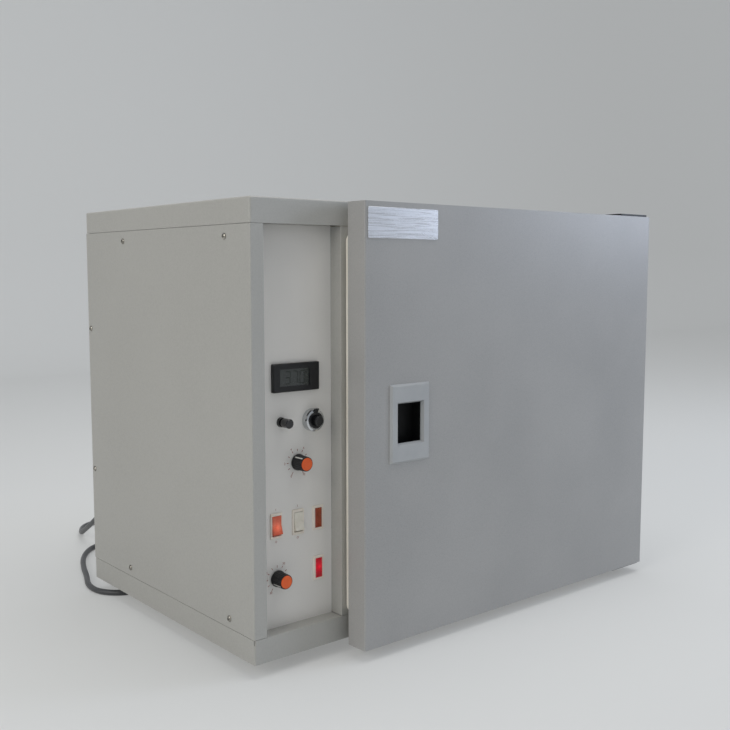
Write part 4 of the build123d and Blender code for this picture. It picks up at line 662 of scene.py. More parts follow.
@dataclass
class Assembly:
    """Common work of the sub-assemblies.

    Attributes:
        shop: gives pieces their finishes.
    """

    shop: Paintshop

    def coat(self, finishes: dict[str, tuple[str, Finish]]) -> None:
        """Puts a finish on CAD nodes.

        Args:
            finishes: node name to (material name, finish).
        """
        for node, (name, finish) in finishes.items():
            self.shop.dress(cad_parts[node], name, finish)
            log.info("dressed %s with %s", node, name)

    def keep(
        self,
        piece: bpy.types.Object,
        body: str,
        slot: str,
        name: str,
        finish: Finish,
        stands_for: tuple[str, ...] = (),
    ) -> bpy.types.Object:
        """slot: name of a material slot; not used.
            name: material name.
            finish: the piece's finish.
            stands_for: CAD nodes that the piece replaces.

        Returns:
            The piece.
        """
        self.shop.dress(piece, name, finish)
        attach(piece, body)
        if stands_for:
            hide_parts(*stands_for)
        log.info("made %s on %s", piece.name, body)
        return piece


# Cabinet


@dataclass
class Cabinet(Assembly):
    """Outer sheet metal, its screws, feet and the insulated chamber.

    Attributes:
        head_radius: radius of a pan-head screw.
        head_height: height of its dome.
        head_fall: share of the height that the dome falls by at its edge.
        spin_step: turn of each screw's recess from the one before, in radians.
        recess_reach: half length of its cross recess.
        recess_width: half width of the recess.
        recess_depth: depth of the recess.
        foot_radius: radius of a foot at its widest.
        foot_screw_depth: depth of a foot's screw seat below the tray.
        low_row: height of the lower screws above the tray's bottom.
        high_row: distance of the upper screws from the cover's top.
        side_columns: distances of the side screws from the front.
        edge_inset: distance of the rear edge's screws from the rear.
        edge_rows: their heights above the tray's bottom.
        rear_columns: distances of the rear screws from the left.
        lower_hinge_screw: height of the lower bracket's screws.
        upper_hinge_screw: distance of the upper bracket's screws from the top.
        hinge_screw_reach: their distance from the bracket's middle.
        hinge_plate: thickness of a bracket.
        recess_slope: width of the slope at a recess's edge.
        skirt_depth: how far a head's skirt goes into the sheet.
    """

    head_radius: float = 3.0
    head_height: float = 1.8
    head_fall: float = 0.65
    spin_step: float = 0.7
    recess_reach: float = 1.75
    recess_width: float = 0.38
    recess_depth: float = 1.0
    foot_radius: float = 15.0
    foot_screw_depth: float = 5.0
    low_row: float = 32.5
    high_row: float = 33.8
    side_columns: tuple[float, float] = (42.0, 244.0)
    edge_inset: float = 6.0
    edge_rows: tuple[float, float] = (128.7, 290.0)
    rear_columns: tuple[float, ...] = (60.0, 200.0, 340.0, 480.0)
    lower_hinge_screw: float = 11.0
    upper_hinge_screw: float = 12.0
    hinge_screw_reach: float = 14.0
    hinge_plate: float = 2.0
    recess_slope: float = 0.2
    skirt_depth: float = 0.5

    def screw_seats(self) -> list[Seat]:
        """Lists the seats of the screws on the sides, the rear, the hinge brackets and the feet.

        Returns:
            Seats whose normals point away from the sheet.
        """
        low, high = corners("left_side_panel")
        right = corners("right_side_panel")[1][0]
        base = corners("base_tray")[0]
        top = corners("top_cover")[1]
        seats = []
        heights = (base[2] + self.low_row, top[2] - self.high_row)
        places = [(low[1] + reach, z) for reach in self.side_columns for z in heights]
        places += [(high[1] - self.edge_inset, base[2] + rise) for rise in self.edge_rows]
        for y, z in places:
            seats.append(Seat((low[0], y, z), (0, -1, 0), (-1, 0, 0)))
            seats.append(Seat((right, y, z), (0, 1, 0), (1, 0, 0)))
        for x in self.rear_columns:
            for z in heights:
                seats.append(Seat((low[0] + x, high[1], z), (-1, 0, 0), (0, 1, 0)))
        bracket_low, bracket_high = corners("hinge_brackets")
        bracket_x = (bracket_low[0] + bracket_high[0]) / 2
        for z in (base[2] + self.lower_hinge_screw, top[2] - self.upper_hinge_screw):
            for x in (-self.hinge_screw_reach, self.hinge_screw_reach):
                seats.append(front_seat(bracket_x + x, low[1] - self.hinge_plate, z))
        foot_low, foot_high = corners("feet")
        for x in (foot_low[0] + self.foot_radius, foot_high[0] - self.foot_radius):
            for y in (foot_low[1] + self.foot_radius, foot_high[1] - self.foot_radius):
                seats.append(Seat((x, y, foot_high[2] - self.foot_screw_depth), (1, 0, 0), (0, 0, -1)))
        return seats

    def screws(self) -> bpy.types.Object:
        """Makes the pan heads with their cross recesses.

        A head is a height over a disc: the dome is h (1 - fall (r/R)^3), and the recess is taken
        off where a point lies within the cross, with a slope at the cross's edge.

        Returns:
            One piece with all the heads.
        """
        heads = Builder("pan_head_screws")
        rings, around = 22, 48
        radius = np.linspace(POLE, self.head_radius, rings)[:, None]
        turn = np.linspace(0, 2 * pi, around, endpoint=False)[None, :]
        x, y = radius * np.cos(turn), radius * np.sin(turn)
        dome = self.head_height * (1 - self.head_fall * (radius / self.head_radius) ** 3)
        inside = np.maximum(
            np.minimum(self.recess_reach - np.abs(x), self.recess_width - np.abs(y)),
            np.minimum(self.recess_reach - np.abs(y), self.recess_width - np.abs(x)),
        )
        cut = self.recess_depth * np.clip(inside / self.recess_slope, 0, 1)
        height = dome - cut
        top = np.stack([x, y, height * np.ones_like(x)], axis=-1)
        skirt = top[-1:].copy()
        skirt[..., 2] = -self.skirt_depth
        head = np.concatenate([top, skirt])
        faces = grid_faces(rings + 1, around, True)
        cap = np.arange(around, dtype=int)
        for number, seat in enumerate(self.screw_seats()):
            spin = self.spin_step * number
            turned = head.reshape(-1, 3) @ np.array(
                [[cos(spin), sin(spin), 0], [-sin(spin), cos(spin), 0], [0, 0, 1]]
            )
            heads.add(seat.place(turned), faces)
            heads.faces.append((cap + sum(len(b) for b in heads.points) - around).tolist())
        piece = heads.finish(30.0)
        return self.keep(
            piece, "cabinet", "screw_steel", "nickel_screws", NICKEL_SCREW, ("cabinet_screws",)
        )

    def build(self) -> None:
        """Dresses the cabinet's sheets and makes its screw heads."""
        painted = ("base_tray", "top_cover", "left_side_panel", "right_side_panel", "rear_panel")
        self.coat({node: ("stone_powder_coat", CABINET_POWDER) for node in painted})
        self.coat(
            {
                "chamber_front_frame": ("stone_powder_coat", CABINET_POWDER),
                "feet": ("nitrile_feet", NITRILE_RUBBER),
                "bulkhead": ("zinc_steel", ZINC_STEEL),
                "chamber_rails": ("zinc_steel", ZINC_STEEL),
                "chamber_liner": ("brushed_stainless", STAINLESS),
                "insulation": ("mineral_wool", MINERAL_WOOL),
                "catch_magnets": ("ferrite_catches", FERRITE),
                "hinge_brackets": ("black_oxide", BLACK_OXIDE),
            }
        )
        self.screws()


# Control column


class Digit(Enum):
    """Lit segments of a seven-segment figure: top, upper left and right, middle, lower, bottom."""

    THREE = (1, 0, 1, 1, 0, 1, 1)
    SEVEN = (1, 0, 1, 0, 0, 1, 0)
    ZERO = (1, 1, 1, 0, 1, 1, 1)


# Side of a knob, from its rear to its front: height, radius and depth of the flutes
KNOB_SIDE = np.array(
    [
        (0.0, 7.5, 0.0), (0.4, 7.8, 0.0), (1.6, 7.8, 0.0), (2.4, 7.3, 0.0), (3.4, 7.25, 0.3),
        (5.0, 7.2, 0.45), (7.0, 7.15, 0.45), (9.0, 7.1, 0.45), (11.0, 7.05, 0.45), (12.6, 7.0, 0.4),
        (13.5, 6.9, 0.2), (14.0, 6.7, 0.0), (14.2, 6.4, 0.0),
    ]
)
KNOB_LENGTH = 14.2
KNOB_RADIUS = 7.8

# Side of the dial's hub: height, radius and depth of the knurl
HUB_SIDE = np.array(
    [
        (0.0, 5.0, 0.0), (0.4, 5.0, 0.15), (1.0, 4.95, 0.3), (3.0, 4.9, 0.3), (5.0, 4.85, 0.3),
        (5.8, 4.7, 0.1), (6.2, 4.3, 0.0),
    ]
)
HUB_LENGTH = 6.2


def fluted_points(side: np.ndarray, flutes: int, around: int, swell: float = 1.0) -> np.ndarray:
    """Turns a side with flutes: r = swell radius - depth (1 + cos(flutes t)) / 2.

    Args:
        side: rows of height, radius and flute depth.
        flutes: number of flutes.
        around: number of points round the axis.
        swell: factor on the radius.

    Returns:
        Points as an array of rows, columns and three coordinates.
    """
    heights, taper, depth = side.T
    turn = np.linspace(0, 2 * pi, around, endpoint=False)
    flute = (1 + np.cos(flutes * turn)) / 2
    radius = taper[:, None] * swell - depth[:, None] * flute[None, :]
    lift = np.repeat(heights[:, None], around, 1)
    return np.stack([radius * np.cos(turn), radius * np.sin(turn), lift], axis=-1)


@dataclass
class ControlColumn(Assembly):
    """Fascia, meter, dial, knobs, switches and lamps.

    Attributes:
        ink: thickness of a printed mark.
        tick_inner: radius where a knob's scale marks begin.
        tick_length: length of a mark.
        tick_width: width of a mark.
        end_mark: how much longer the first and last marks are.
        flutes: flutes round a knob.
        window_set_back: depth of the meter's window behind its bezel's front.
        spindle_radius: radius of a knob's spindle.
        line_reach: distance of a pointer from the knob's axis.
        line_rise: distance of a pointer's middle from the knob's rear.
        line_size: width, length and height of a pointer.
        knurls: grooves round the dial's hub.
        hub_collar: radius of the collar behind the hub.
        dial_marks: places for marks round the dial's housing.
        mark_radius: radius of their ring.
        brake_room: angle kept free at each side of the brake, in radians.
        number_size: height of the printed numbers.
        number_radius: radius of a ring of numbers.
        half_figure: half height of a figure as a share of the font's size.
        on_rise: height of a switch's on mark above its middle.
        off_drop: distance of its off mark below its middle.
        neon_depth: depth of a neon behind its lens's front.
        pane_gap: gap between the meter's window and its bezel.
        pane_bevel: bevel of the window's edges.
        digit_pitch: distance between the meter's figures.
        digit_shift: how far the figures sit left of the window's middle.
        digit_slant: slope of the figures to the right.
        segment_height: height of a segment over the window.
    """

    ink: float = 0.06
    tick_inner: float = 10.2
    tick_length: float = 2.2
    tick_width: float = 0.5
    end_mark: float = 1.5
    flutes: int = 24
    window_set_back: float = 0.9
    spindle_radius: float = 3.0
    line_reach: float = 6.9
    line_rise: float = 7.5
    line_size: tuple[float, float, float] = (1.1, 11.0, 0.45)
    knurls: int = 30
    hub_collar: float = 6.0
    dial_marks: int = 20
    mark_radius: float = 7.9
    brake_room: float = 0.4
    number_size: float = 3.0
    number_radius: float = 14.6
    half_figure: float = 0.36
    on_rise: float = 14.0
    off_drop: float = 16.4
    neon_depth: float = 1.0
    pane_gap: float = 0.02
    pane_bevel: float = 0.35
    digit_pitch: float = 8.2
    digit_shift: float = 1.5
    digit_slant: float = 0.09
    segment_height: float = 0.05

    def scale(self, name: str, knob: str, start: float, end: float, marks: int) -> bpy.types.Object:
        """Prints the marks of a scale round a knob on the fascia.

        The marks stand at equal angles on a circle: x = r sin(angle), z = r cos(angle).

        Args:
            name: the piece's name.
            knob: CAD node at the scale's centre.
            start: angle of the first mark, clockwise from up, in degrees.
            end: angle of the last mark.
            marks: number of marks.

        Returns:
            The printed marks.
        """
        x, _, z = middle(knob)
        film = corners("fascia_panel")[0][1]
        print_run = Builder(name)
        for number, angle in enumerate(np.radians(np.linspace(start, end, marks))):
            length = self.tick_length * (self.end_mark if number in (0, marks - 1) else 1.0)
            reach = self.tick_inner + length / 2
            seat = front_seat(x + reach * sin(angle), film, z + reach * cos(angle))
            print_run.add_bar(seat, (self.tick_width, length, self.ink), -angle)
        return self.keep(print_run.finish(), "cabinet", "rocker_orange", "red_screen_ink", RED_INK)

    def figures(self, name: str, text: str, x: float, z: float, size: float) -> bpy.types.Object:
        """Prints plain numbers on the fascia.

        Args:
            name: the piece's name.
            text: the figures.
            x: middle of the figures.
            z: their foot.
            size: height of the font in millimetres.

        Returns:
            The printed figures as a mesh.
        """
        film = corners("fascia_panel")[0][1]
        curve = bpy.data.curves.new(name + "_outline", "FONT")
        curve.body = text
        curve.size = size
        curve.align_x = "CENTER"
        curve.extrude = self.ink / 2
        holder = bpy.data.objects.new(name + "_outline", curve)
        mesh = bpy.data.meshes.new_from_object(holder)
        mesh.name = name
        points = np.zeros(len(mesh.vertices) * 3, np.float32)
        mesh.vertices.foreach_get("co", points)
        placed = front_seat(x, film - self.ink / 2, z).place(points.astype(float)) * MM
        mesh.vertices.foreach_set("co", placed.astype(np.float32).ravel())
        mesh.update()
        bpy.data.objects.remove(holder)
        bpy.data.curves.remove(curve)
        piece = bpy.data.objects.new(name, mesh)
        bpy.context.scene.collection.objects.link(piece)
        return self.keep(piece, "cabinet", "rocker_orange", "red_screen_ink", RED_INK)

    def print_figures(self) -> None:
        """Prints the numbers of the two scales and the marks of the switches."""
        speed, _, speed_z = middle("speed_knob_cap")
        cutout, _, cutout_z = middle("cutout_knob_cap")
        size, reach = self.number_size, self.number_radius
        for name, x, z, start, step, texts in (
            ("speed", speed, speed_z, -150.0, 60.0, ("0", "2", "4", "6", "8", "10")),
            ("cutout", cutout, cutout_z, -150.0, 90.0, ("30", "50", "70", "90")),
        ):
            for number, text in enumerate(texts):
                angle = radians(start + step * number)
                foot = z + reach * cos(angle) - size * self.half_figure
                self.figures(f"{name}_number_{text}", text, x + reach * sin(angle), foot, size)
        power, _, power_z = middle("power_switch_rocker")
        rotation, _, rotation_z = middle("rotation_switch_rocker")
        for name, x, z in (("power", power, power_z), ("rotation", rotation, rotation_z)):
            self.figures(f"{name}_on_mark", "I", x, z + self.on_rise, size)
            self.figures(f"{name}_off_mark", "O", x, z - self.off_drop, size)

    def knob(self, body: str, pointer: float) -> None:
        """Makes a fluted knob with its skirt and a white pointer down its side.

        Args:
            body: the knob's body and CAD node.
            pointer: the pointer's angle, clockwise from up, in degrees.
        """
        low, high = corners(body)
        x, _, z = middle(body + "_cap")
        rear = low[1] + KNOB_LENGTH
        around = 192
        side = fluted_points(KNOB_SIDE, self.flutes, around, (high[0] - low[0]) / 2 / KNOB_RADIUS)
        cap_bore, cap_seat = 6.05, 13.0
        rear_bore, rear_seat = 6.2, 3.0
        front_recess = np.array([(cap_bore, KNOB_LENGTH), (cap_bore, cap_seat), (POLE, cap_seat)])
        rear_recess = np.array([(POLE, rear_seat), (rear_bore, rear_seat), (rear_bore, 0.0)])
        shell = np.concatenate(
            [turned_points(rear_recess, around), side, turned_points(front_recess, around)]
        )
        knob = Builder(body + "_moulding")
        seat = front_seat(x, rear, z)
        knob.add(seat.place(shell), grid_faces(len(shell), around, True))
        spindle = self.spindle_radius
        knob.add_turned(seat, [(POLE, -2.0), (spindle, -2.0), (spindle, 4.0), (POLE, 4.0)])
        self.keep(knob.finish(), body, "knob_grey", "knob_nylon", KNOB_NYLON, (body,))
        angle = radians(pointer)
        line = Builder(body + "_pointer")
        edge = Seat(
            (x + self.line_reach * sin(angle), rear - self.line_rise, z + self.line_reach * cos(angle)),
            (cos(angle), 0, -sin(angle)),
            (sin(angle), 0, cos(angle)),
        )
        line.add_bar(edge, self.line_size)
        self.keep(line.finish(), body, "rocker_white", "white_ink", WHITE_INK)

    def counting_dial(self) -> None:
        """Makes the dial's knurled black hub and the tick ring on its chrome housing."""
        x, _, z = middle("dial_housing")
        front = corners("dial_housing")[0][1]
        around = 180
        side = fluted_points(HUB_SIDE, self.knurls, around)
        closing = turned_points(np.array([(POLE, HUB_LENGTH)]), around)
        rear = turned_points(np.array([(POLE, 0.0)]), around)
        shell = np.concatenate([rear, side, closing])
        hub = Builder("dial_hub")
        seat = front_seat(x, corners("dial_knob")[0][1] + HUB_LENGTH, z)
        hub.add(seat.place(shell), grid_faces(len(shell), around, True))
        spindle, collar = self.spindle_radius, self.hub_collar
        hub.add_turned(seat, [(POLE, -14.0), (spindle, -14.0), (spindle, 0.5), (POLE, 0.5)])
        hub.add_turned(seat, [(POLE, -3.0), (collar, -3.0), (collar, -0.1), (POLE, -0.1)])
        self.keep(hub.finish(), "dial_knob", "dial_black", "black_phenolic", BLACK_PHENOLIC, ("dial_knob",))
        ring = Builder("dial_ticks")
        for number in range(self.dial_marks):
            angle = 2 * pi * number / self.dial_marks
            if self.brake_room < angle < 2 * pi - self.brake_room:
                place = (x + self.mark_radius * sin(angle), front, z + self.mark_radius * cos(angle))
                ring.add_bar(front_seat(*place), (0.25, 0.9, 0.05), -angle)
        self.keep(ring.finish(), "cabinet", "dial_black", "black_phenolic", BLACK_PHENOLIC)

    def lit(self, node: str, name: str, finish: Finish, rise: float) -> None:
        """Dresses a lens or rocker that a neon lights.

        Args:
            node: the CAD node.
            name: the material's name.
            finish: the lens's finish.
            rise: how far the neon sits above the lens's centre.
        """
        x, _, z = middle(node)
        front = corners(node)[0][1]
        neon = (x, front + self.neon_depth, z + rise)
        self.shop.dress(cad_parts[node], name, finish, neon)
        log.info("lit %s", node)

    def meter_window(self) -> bpy.types.Object:
        """Makes the meter's window pane, just behind the bezel's front.

        Its rings are rectangles that rise with the pane, and the last one is smaller by the bevel.

        Returns:
            The pane.
        """
        low, high = corners("display_window")
        bezel = corners("display_bezel")[0][1]
        half_x = (high[0] - low[0]) / 2 - self.pane_gap
        half_z = (high[2] - low[2]) / 2 - self.pane_gap
        rear, front = high[1], bezel + self.window_set_back
        thick = rear - front
        loops = []
        bevel = self.pane_bevel
        for inset, height in ((0.0, 0.0), (0.0, thick - bevel), (bevel, thick)):
            i, j = half_x - inset, half_z - inset
            loops.append(np.array([(-i, -j, height), (i, -j, height), (i, j, height), (-i, j, height)]))
        floor, roof = np.zeros((4, 3)), np.zeros((4, 3))
        roof[:, 2] = thick
        shell = np.stack([floor] + loops + [roof])
        pane = Builder("meter_window")
        seat = front_seat((low[0] + high[0]) / 2, rear, (low[2] + high[2]) / 2)
        pane.add(seat.place(shell), grid_faces(len(shell), 4, True))
        return self.keep(
            pane.finish(), "cabinet", "display_grey", "smoked_acrylic", SMOKED_ACRYLIC, ("display_window",)
        )

    def meter_figures(self) -> bpy.types.Object:
        """Draws the temperature in seven-segment figures on the window's face.

        Each segment is a bar, and the slant moves it right by a share of its height.

        Returns:
            The lit segments and the decimal point.
        """
        low, high = corners("display_window")
        glass = corners("display_bezel")[0][1] + self.window_set_back
        x, z = (low[0] + high[0]) / 2 - self.digit_shift, (low[2] + high[2]) / 2
        segments = Builder("meter_figures")
        half, tall, thick = 2.7, 5.6, 1.1
        pitch, rise = self.digit_pitch, self.segment_height
        for number, digit in enumerate((Digit.THREE, Digit.SEVEN, Digit.ZERO)):
            centre = x + (number - 1) * pitch
            lit = digit.value
            bars = [(0, tall, 0), (-half, tall / 2, 1), (half, tall / 2, 1), (0, 0, 0)]
            bars += [(-half, -tall / 2, 1), (half, -tall / 2, 1), (0, -tall, 0)]
            for on, (dx, dz, upright) in zip(lit, bars):
                if on:
                    length = (tall if upright else 2 * half) - thick * 0.7
                    size = (thick, length, rise) if upright else (length, thick, rise)
                    slant = self.digit_slant * dz
                    segments.add_bar(front_seat(centre + dx + slant, glass, z + dz), size)
        segments.add_bar(front_seat(x + pitch / 2, glass, z - tall), (0.9, 0.9, rise))
        return self.keep(segments.finish(), "cabinet", "display_grey", "segment_ink", SEGMENT_INK)

    def build(self) -> None:
        """Dresses the instruments and makes their small mouldings and scales."""
        self.coat(
            {
                "fascia_panel": ("fascia_film", FASCIA_FILM),
                "display_bezel": ("black_abs", BLACK_ABS),
                "display_window": ("smoked_acrylic", SMOKED_ACRYLIC),
                "display_module": ("crystal_glass", CRYSTAL_GLASS),
                "switch_bodies": ("cream_nylon", CREAM_NYLON),
                "lamp_bodies": ("cream_nylon", CREAM_NYLON),
                "rotation_switch_rocker": ("white_rocker", WHITE_ROCKER),
                "heat_lamp_lens": ("amber_lens", AMBER_LENS),
                "potentiometers": ("zinc_steel", ZINC_STEEL),
                "cutout_thermostat": ("acetal", ACETAL),
                "speed_knob": ("knob_nylon", KNOB_NYLON),
                "cutout_knob": ("knob_nylon", KNOB_NYLON),
                "speed_knob_cap": ("cap_orange", CAP_ORANGE),
                "cutout_knob_cap": ("cap_orange", CAP_ORANGE),
                "dial_housing": ("dial_chrome", DIAL_CHROME),
                "dial_knob": ("black_phenolic", BLACK_PHENOLIC),
                "dial_brake_lever": ("black_phenolic", BLACK_PHENOLIC),
                "set_button_case": ("black_phenolic", BLACK_PHENOLIC),
                "set_button": ("black_phenolic", BLACK_PHENOLIC),
                "control_board": ("solder_resist", SOLDER_RESIST),
                "mains_transformer": ("varnished_steel", VARNISHED_STEEL),
                "terminal_block": ("cream_nylon", CREAM_NYLON),
            }
        )
        self.lit("power_switch_rocker", "lit_rocker", LIT_ROCKER, -1.0)
        self.lit("cutout_lamp_lens", "red_lens", RED_LENS, 1.5)
        self.meter_window()
        self.knob("speed_knob", -39.0)
        self.knob("cutout_knob", -120.0)
        self.counting_dial()
        self.meter_figures()
        self.scale("speed_scale", "speed_knob_cap", -150.0, 150.0, 11)
        self.scale("cutout_scale", "cutout_knob_cap", -150.0, 120.0, 10)
        self.print_figures()


# Oven chamber


@dataclass
class Chamber(Assembly):
    """Reel, clips, fan, heater and air baffle behind the door."""

    def build(self) -> None:
        """Dresses the pieces inside the chamber and the drive behind its walls."""
        self.coat(
            {
                "air_baffle": ("upright_stainless", STAINLESS_UPRIGHT),
                "temperature_probe": ("brushed_stainless", STAINLESS),
                "heater_element": ("heater_sheath", HEATER_SHEATH),
                "fan_impeller": ("anodised_aluminium", ANODISED),
                "fan_motor": ("zinc_steel", ZINC_STEEL),
                "rotation_motor": ("zinc_steel", ZINC_STEEL),
                "reel_bearings": ("acetal", ACETAL),
                "reel_axle": ("brushed_stainless", STAINLESS),
                "reel_end_discs": ("anodised_aluminium", ANODISED),
                "reel_rails": ("anodised_aluminium", ANODISED),
                "bottle_clips": ("spring_steel", SPRING_STEEL),
                "clip_rivets": ("anodised_aluminium", ANODISED),
            }
        )


# Door


@dataclass
class Door(Assembly):
    """Door skin with its seal, pull and bare plate.

    Attributes:
        plate_size: width and height of the bare plate.
        plate_inset: its distance from the door's left and top edges.
        plate_thickness: its thickness.
        plate_corner: radius of its corners.
        plate_bevel: bevel of its edge.
        seal_width: width of the seal's foot.
        seal_corner: radius of the seal's outer corners.
        seal_shoulder: height where the seal's crown begins.
        seal_fold: depth of its side folds.
        cup: width and height inside the pull's cup.
        cup_wall: thickness of the cup.
        cup_from_front: distance of the shade sheet's rim behind the pull's front.
        shade_sheet_gap: gap between the cup and its painted shade sheet.
        shade_sheet_thickness: thickness of the painted shade sheet.
    """

    plate_size: tuple[float, float] = (88.0, 28.5)
    plate_inset: tuple[float, float] = (3.2, 5.2)
    plate_thickness: float = 0.8
    plate_corner: float = 1.5
    plate_bevel: float = 0.2
    seal_width: float = 9.0
    seal_corner: float = 8.0
    seal_shoulder: float = 6.6
    seal_fold: float = 0.9
    cup: tuple[float, float] = (39.0, 60.0)
    cup_wall: float = 1.5
    cup_from_front: float = 4.0
    shade_sheet_gap: float = 0.15
    shade_sheet_thickness: float = 0.3

    def plate(self) -> bpy.types.Object:
        """Makes the bare metal plate at the door's upper left corner, its corners rounded.

        The outline is a rounded rectangle, and the edge is a small bevel.

        Returns:
            The plate.
        """
        low, high = corners("door_skin")
        x = low[0] + self.plate_inset[0] + self.plate_size[0] / 2
        z = high[2] - self.plate_inset[1] - self.plate_size[1] / 2
        thick, bevel = self.plate_thickness, self.plate_bevel
        rings = [(0.0, 0.0), (0.0, thick - bevel), (bevel, thick)]
        loops = [self.rounded_loop(self.plate_size, self.plate_corner, *ring) for ring in rings]
        centre = np.zeros_like(loops[0])
        floor, roof = centre.copy(), centre.copy()
        roof[:, 2] = thick
        shell = np.stack([floor] + loops + [roof])
        plate = Builder("door_plate")
        faces = grid_faces(len(shell), shell.shape[1], True)
        plate.add(front_seat(x, low[1], z).place(shell), faces)
        return self.keep(plate.finish(), "door", "aluminium", "bare_plate", BARE_PLATE)

    def rounded_loop(
        self, size: tuple[float, float], radius: float, inset: float, height: float, steps: int = 7
    ) -> np.ndarray:
        """Lists the points of a rounded rectangle, anticlockwise.

        Each corner is a quarter circle of radius (radius - inset) round the corner's centre.

        Args:
            size: width and height.
            radius: corner radius before the inset.
            inset: how far the loop lies inside the outline.
            height: local Z of the loop.
            steps: points along each corner.

        Returns:
            Points with three coordinates each.
        """
        bend = max(radius - inset, 0.05)
        turn = np.linspace(0, pi / 2, steps)
        places = [(1, 1, 0.0), (-1, 1, pi / 2), (-1, -1, pi), (1, -1, 1.5 * pi)]
        x = [i * (size[0] / 2 - radius) + bend * np.cos(turn + start) for i, j, start in places]
        y = [j * (size[1] / 2 - radius) + bend * np.sin(turn + start) for i, j, start in places]
        x, y = np.concatenate(x), np.concatenate(y)
        return np.stack([x, y, np.full_like(x, height)], axis=-1)

    def seal(self) -> bpy.types.Object:
        """Carries the seal's profile round the door: a flat foot, two side folds and a soft crown.

        The profile's points are (inset from the outer edge, height from the door's back), carried
        along the rounded rectangle.

        Returns:
            The seal.
        """
        low, high = corners("door_gasket")
        width, height = high[0] - low[0], high[2] - low[2]
        reach = high[1] - low[1]
        fold, shoulder = self.seal_fold, self.seal_shoulder
        side = [(0.0, 0.0), (0.0, 1.6), (fold, 2.4), (fold, 3.4), (0.0, 4.4), (0.0, shoulder)]
        turn = np.linspace(0, pi, 11)
        crown_x = self.seal_width / 2 * (1 - np.cos(turn))
        crown_z = shoulder + (reach - shoulder) * np.sin(turn)
        crown = list(zip(crown_x.tolist(), crown_z.tolist()))
        other = [(self.seal_width - inset, lift) for inset, lift in reversed(side)]
        profile = side + crown[1:-1] + other + [side[0]]
        outline = (width, height)
        loops = [self.rounded_loop(outline, self.seal_corner, inset, lift, 9) for inset, lift in profile]
        shell = np.stack(loops)
        seal = Builder("door_seal")
        seat = Seat(
            ((low[0] + high[0]) / 2, low[1], (low[2] + high[2]) / 2), (-1, 0, 0), (0, 1, 0)
        )
        seal.add(seat.place(shell), grid_faces(len(shell), shell.shape[1], True))
        # The seal's cream colour is brightened with painted light
        return self.keep(
            seal.finish(50.0), "door", "gasket_silicone", "seal_silicone_painted_light", SEAL_SILICONE_PAINTED_LIGHT, ("door_gasket",)
        )

    def pull_shade_sheet(self) -> bpy.types.Object:
        """Paints the shade of the pull's deep cup: a near-black open box just inside the cup's walls.

        Its rings are rectangles, up the outside to the rim and down the inside to the floor.

        Returns:
            The painted shade sheet.
        """
        low, high = corners("door_pull")
        x, z = (low[0] + high[0]) / 2, (low[2] + high[2]) / 2
        back = high[1] - self.cup_wall
        front = low[1] + self.cup_from_front
        half_x, half_z = self.cup[0] / 2 - self.shade_sheet_gap, self.cup[1] / 2 - self.shade_sheet_gap
        outline = [(-half_x, -half_z), (half_x, -half_z), (half_x, half_z), (-half_x, half_z)]
        depth = back - front
        thin = self.shade_sheet_thickness
        base, rim = 0.02, depth - 0.2
        outer = [np.array([(i, j, level) for i, j in outline]) for level in (base, rim)]
        shrink = (half_x - thin) / half_x
        inner = [np.array([(i * shrink, j * shrink, level) for i, j in outline]) for level in (rim, thin)]
        floor, bed = np.zeros((4, 3)), np.zeros((4, 3))
        floor[:, 2], bed[:, 2] = base, thin
        shell = np.stack([floor] + outer + inner + [bed])
        # Near-black sheet that stands in for the shade inside the cup
        shade_sheet = Builder("pull_shade_sheet")
        shade_sheet.add(front_seat(x, back, z).place(shell), grid_faces(len(shell), 4, True))
        return self.keep(shade_sheet.finish(), "door", "dial_black", "pull_shade_sheet", PULL_PAINTED_SHADE)

    def build(self) -> None:
        """Dresses the door and makes its seal, plate and the painted shade sheet in the pull's cup."""
        self.coat(
            {
                "door_skin": ("door_powder_coat", DOOR_POWDER),
                "door_inner_panel": ("brushed_stainless", STAINLESS),
                "door_insulation": ("mineral_wool", MINERAL_WOOL),
                "door_pull": ("pull_abs", PULL_ABS),
                "hinge_bushes": ("acetal", ACETAL),
            }
        )
        self.seal()
        self.plate()
        self.pull_shade_sheet()


# Mains lead


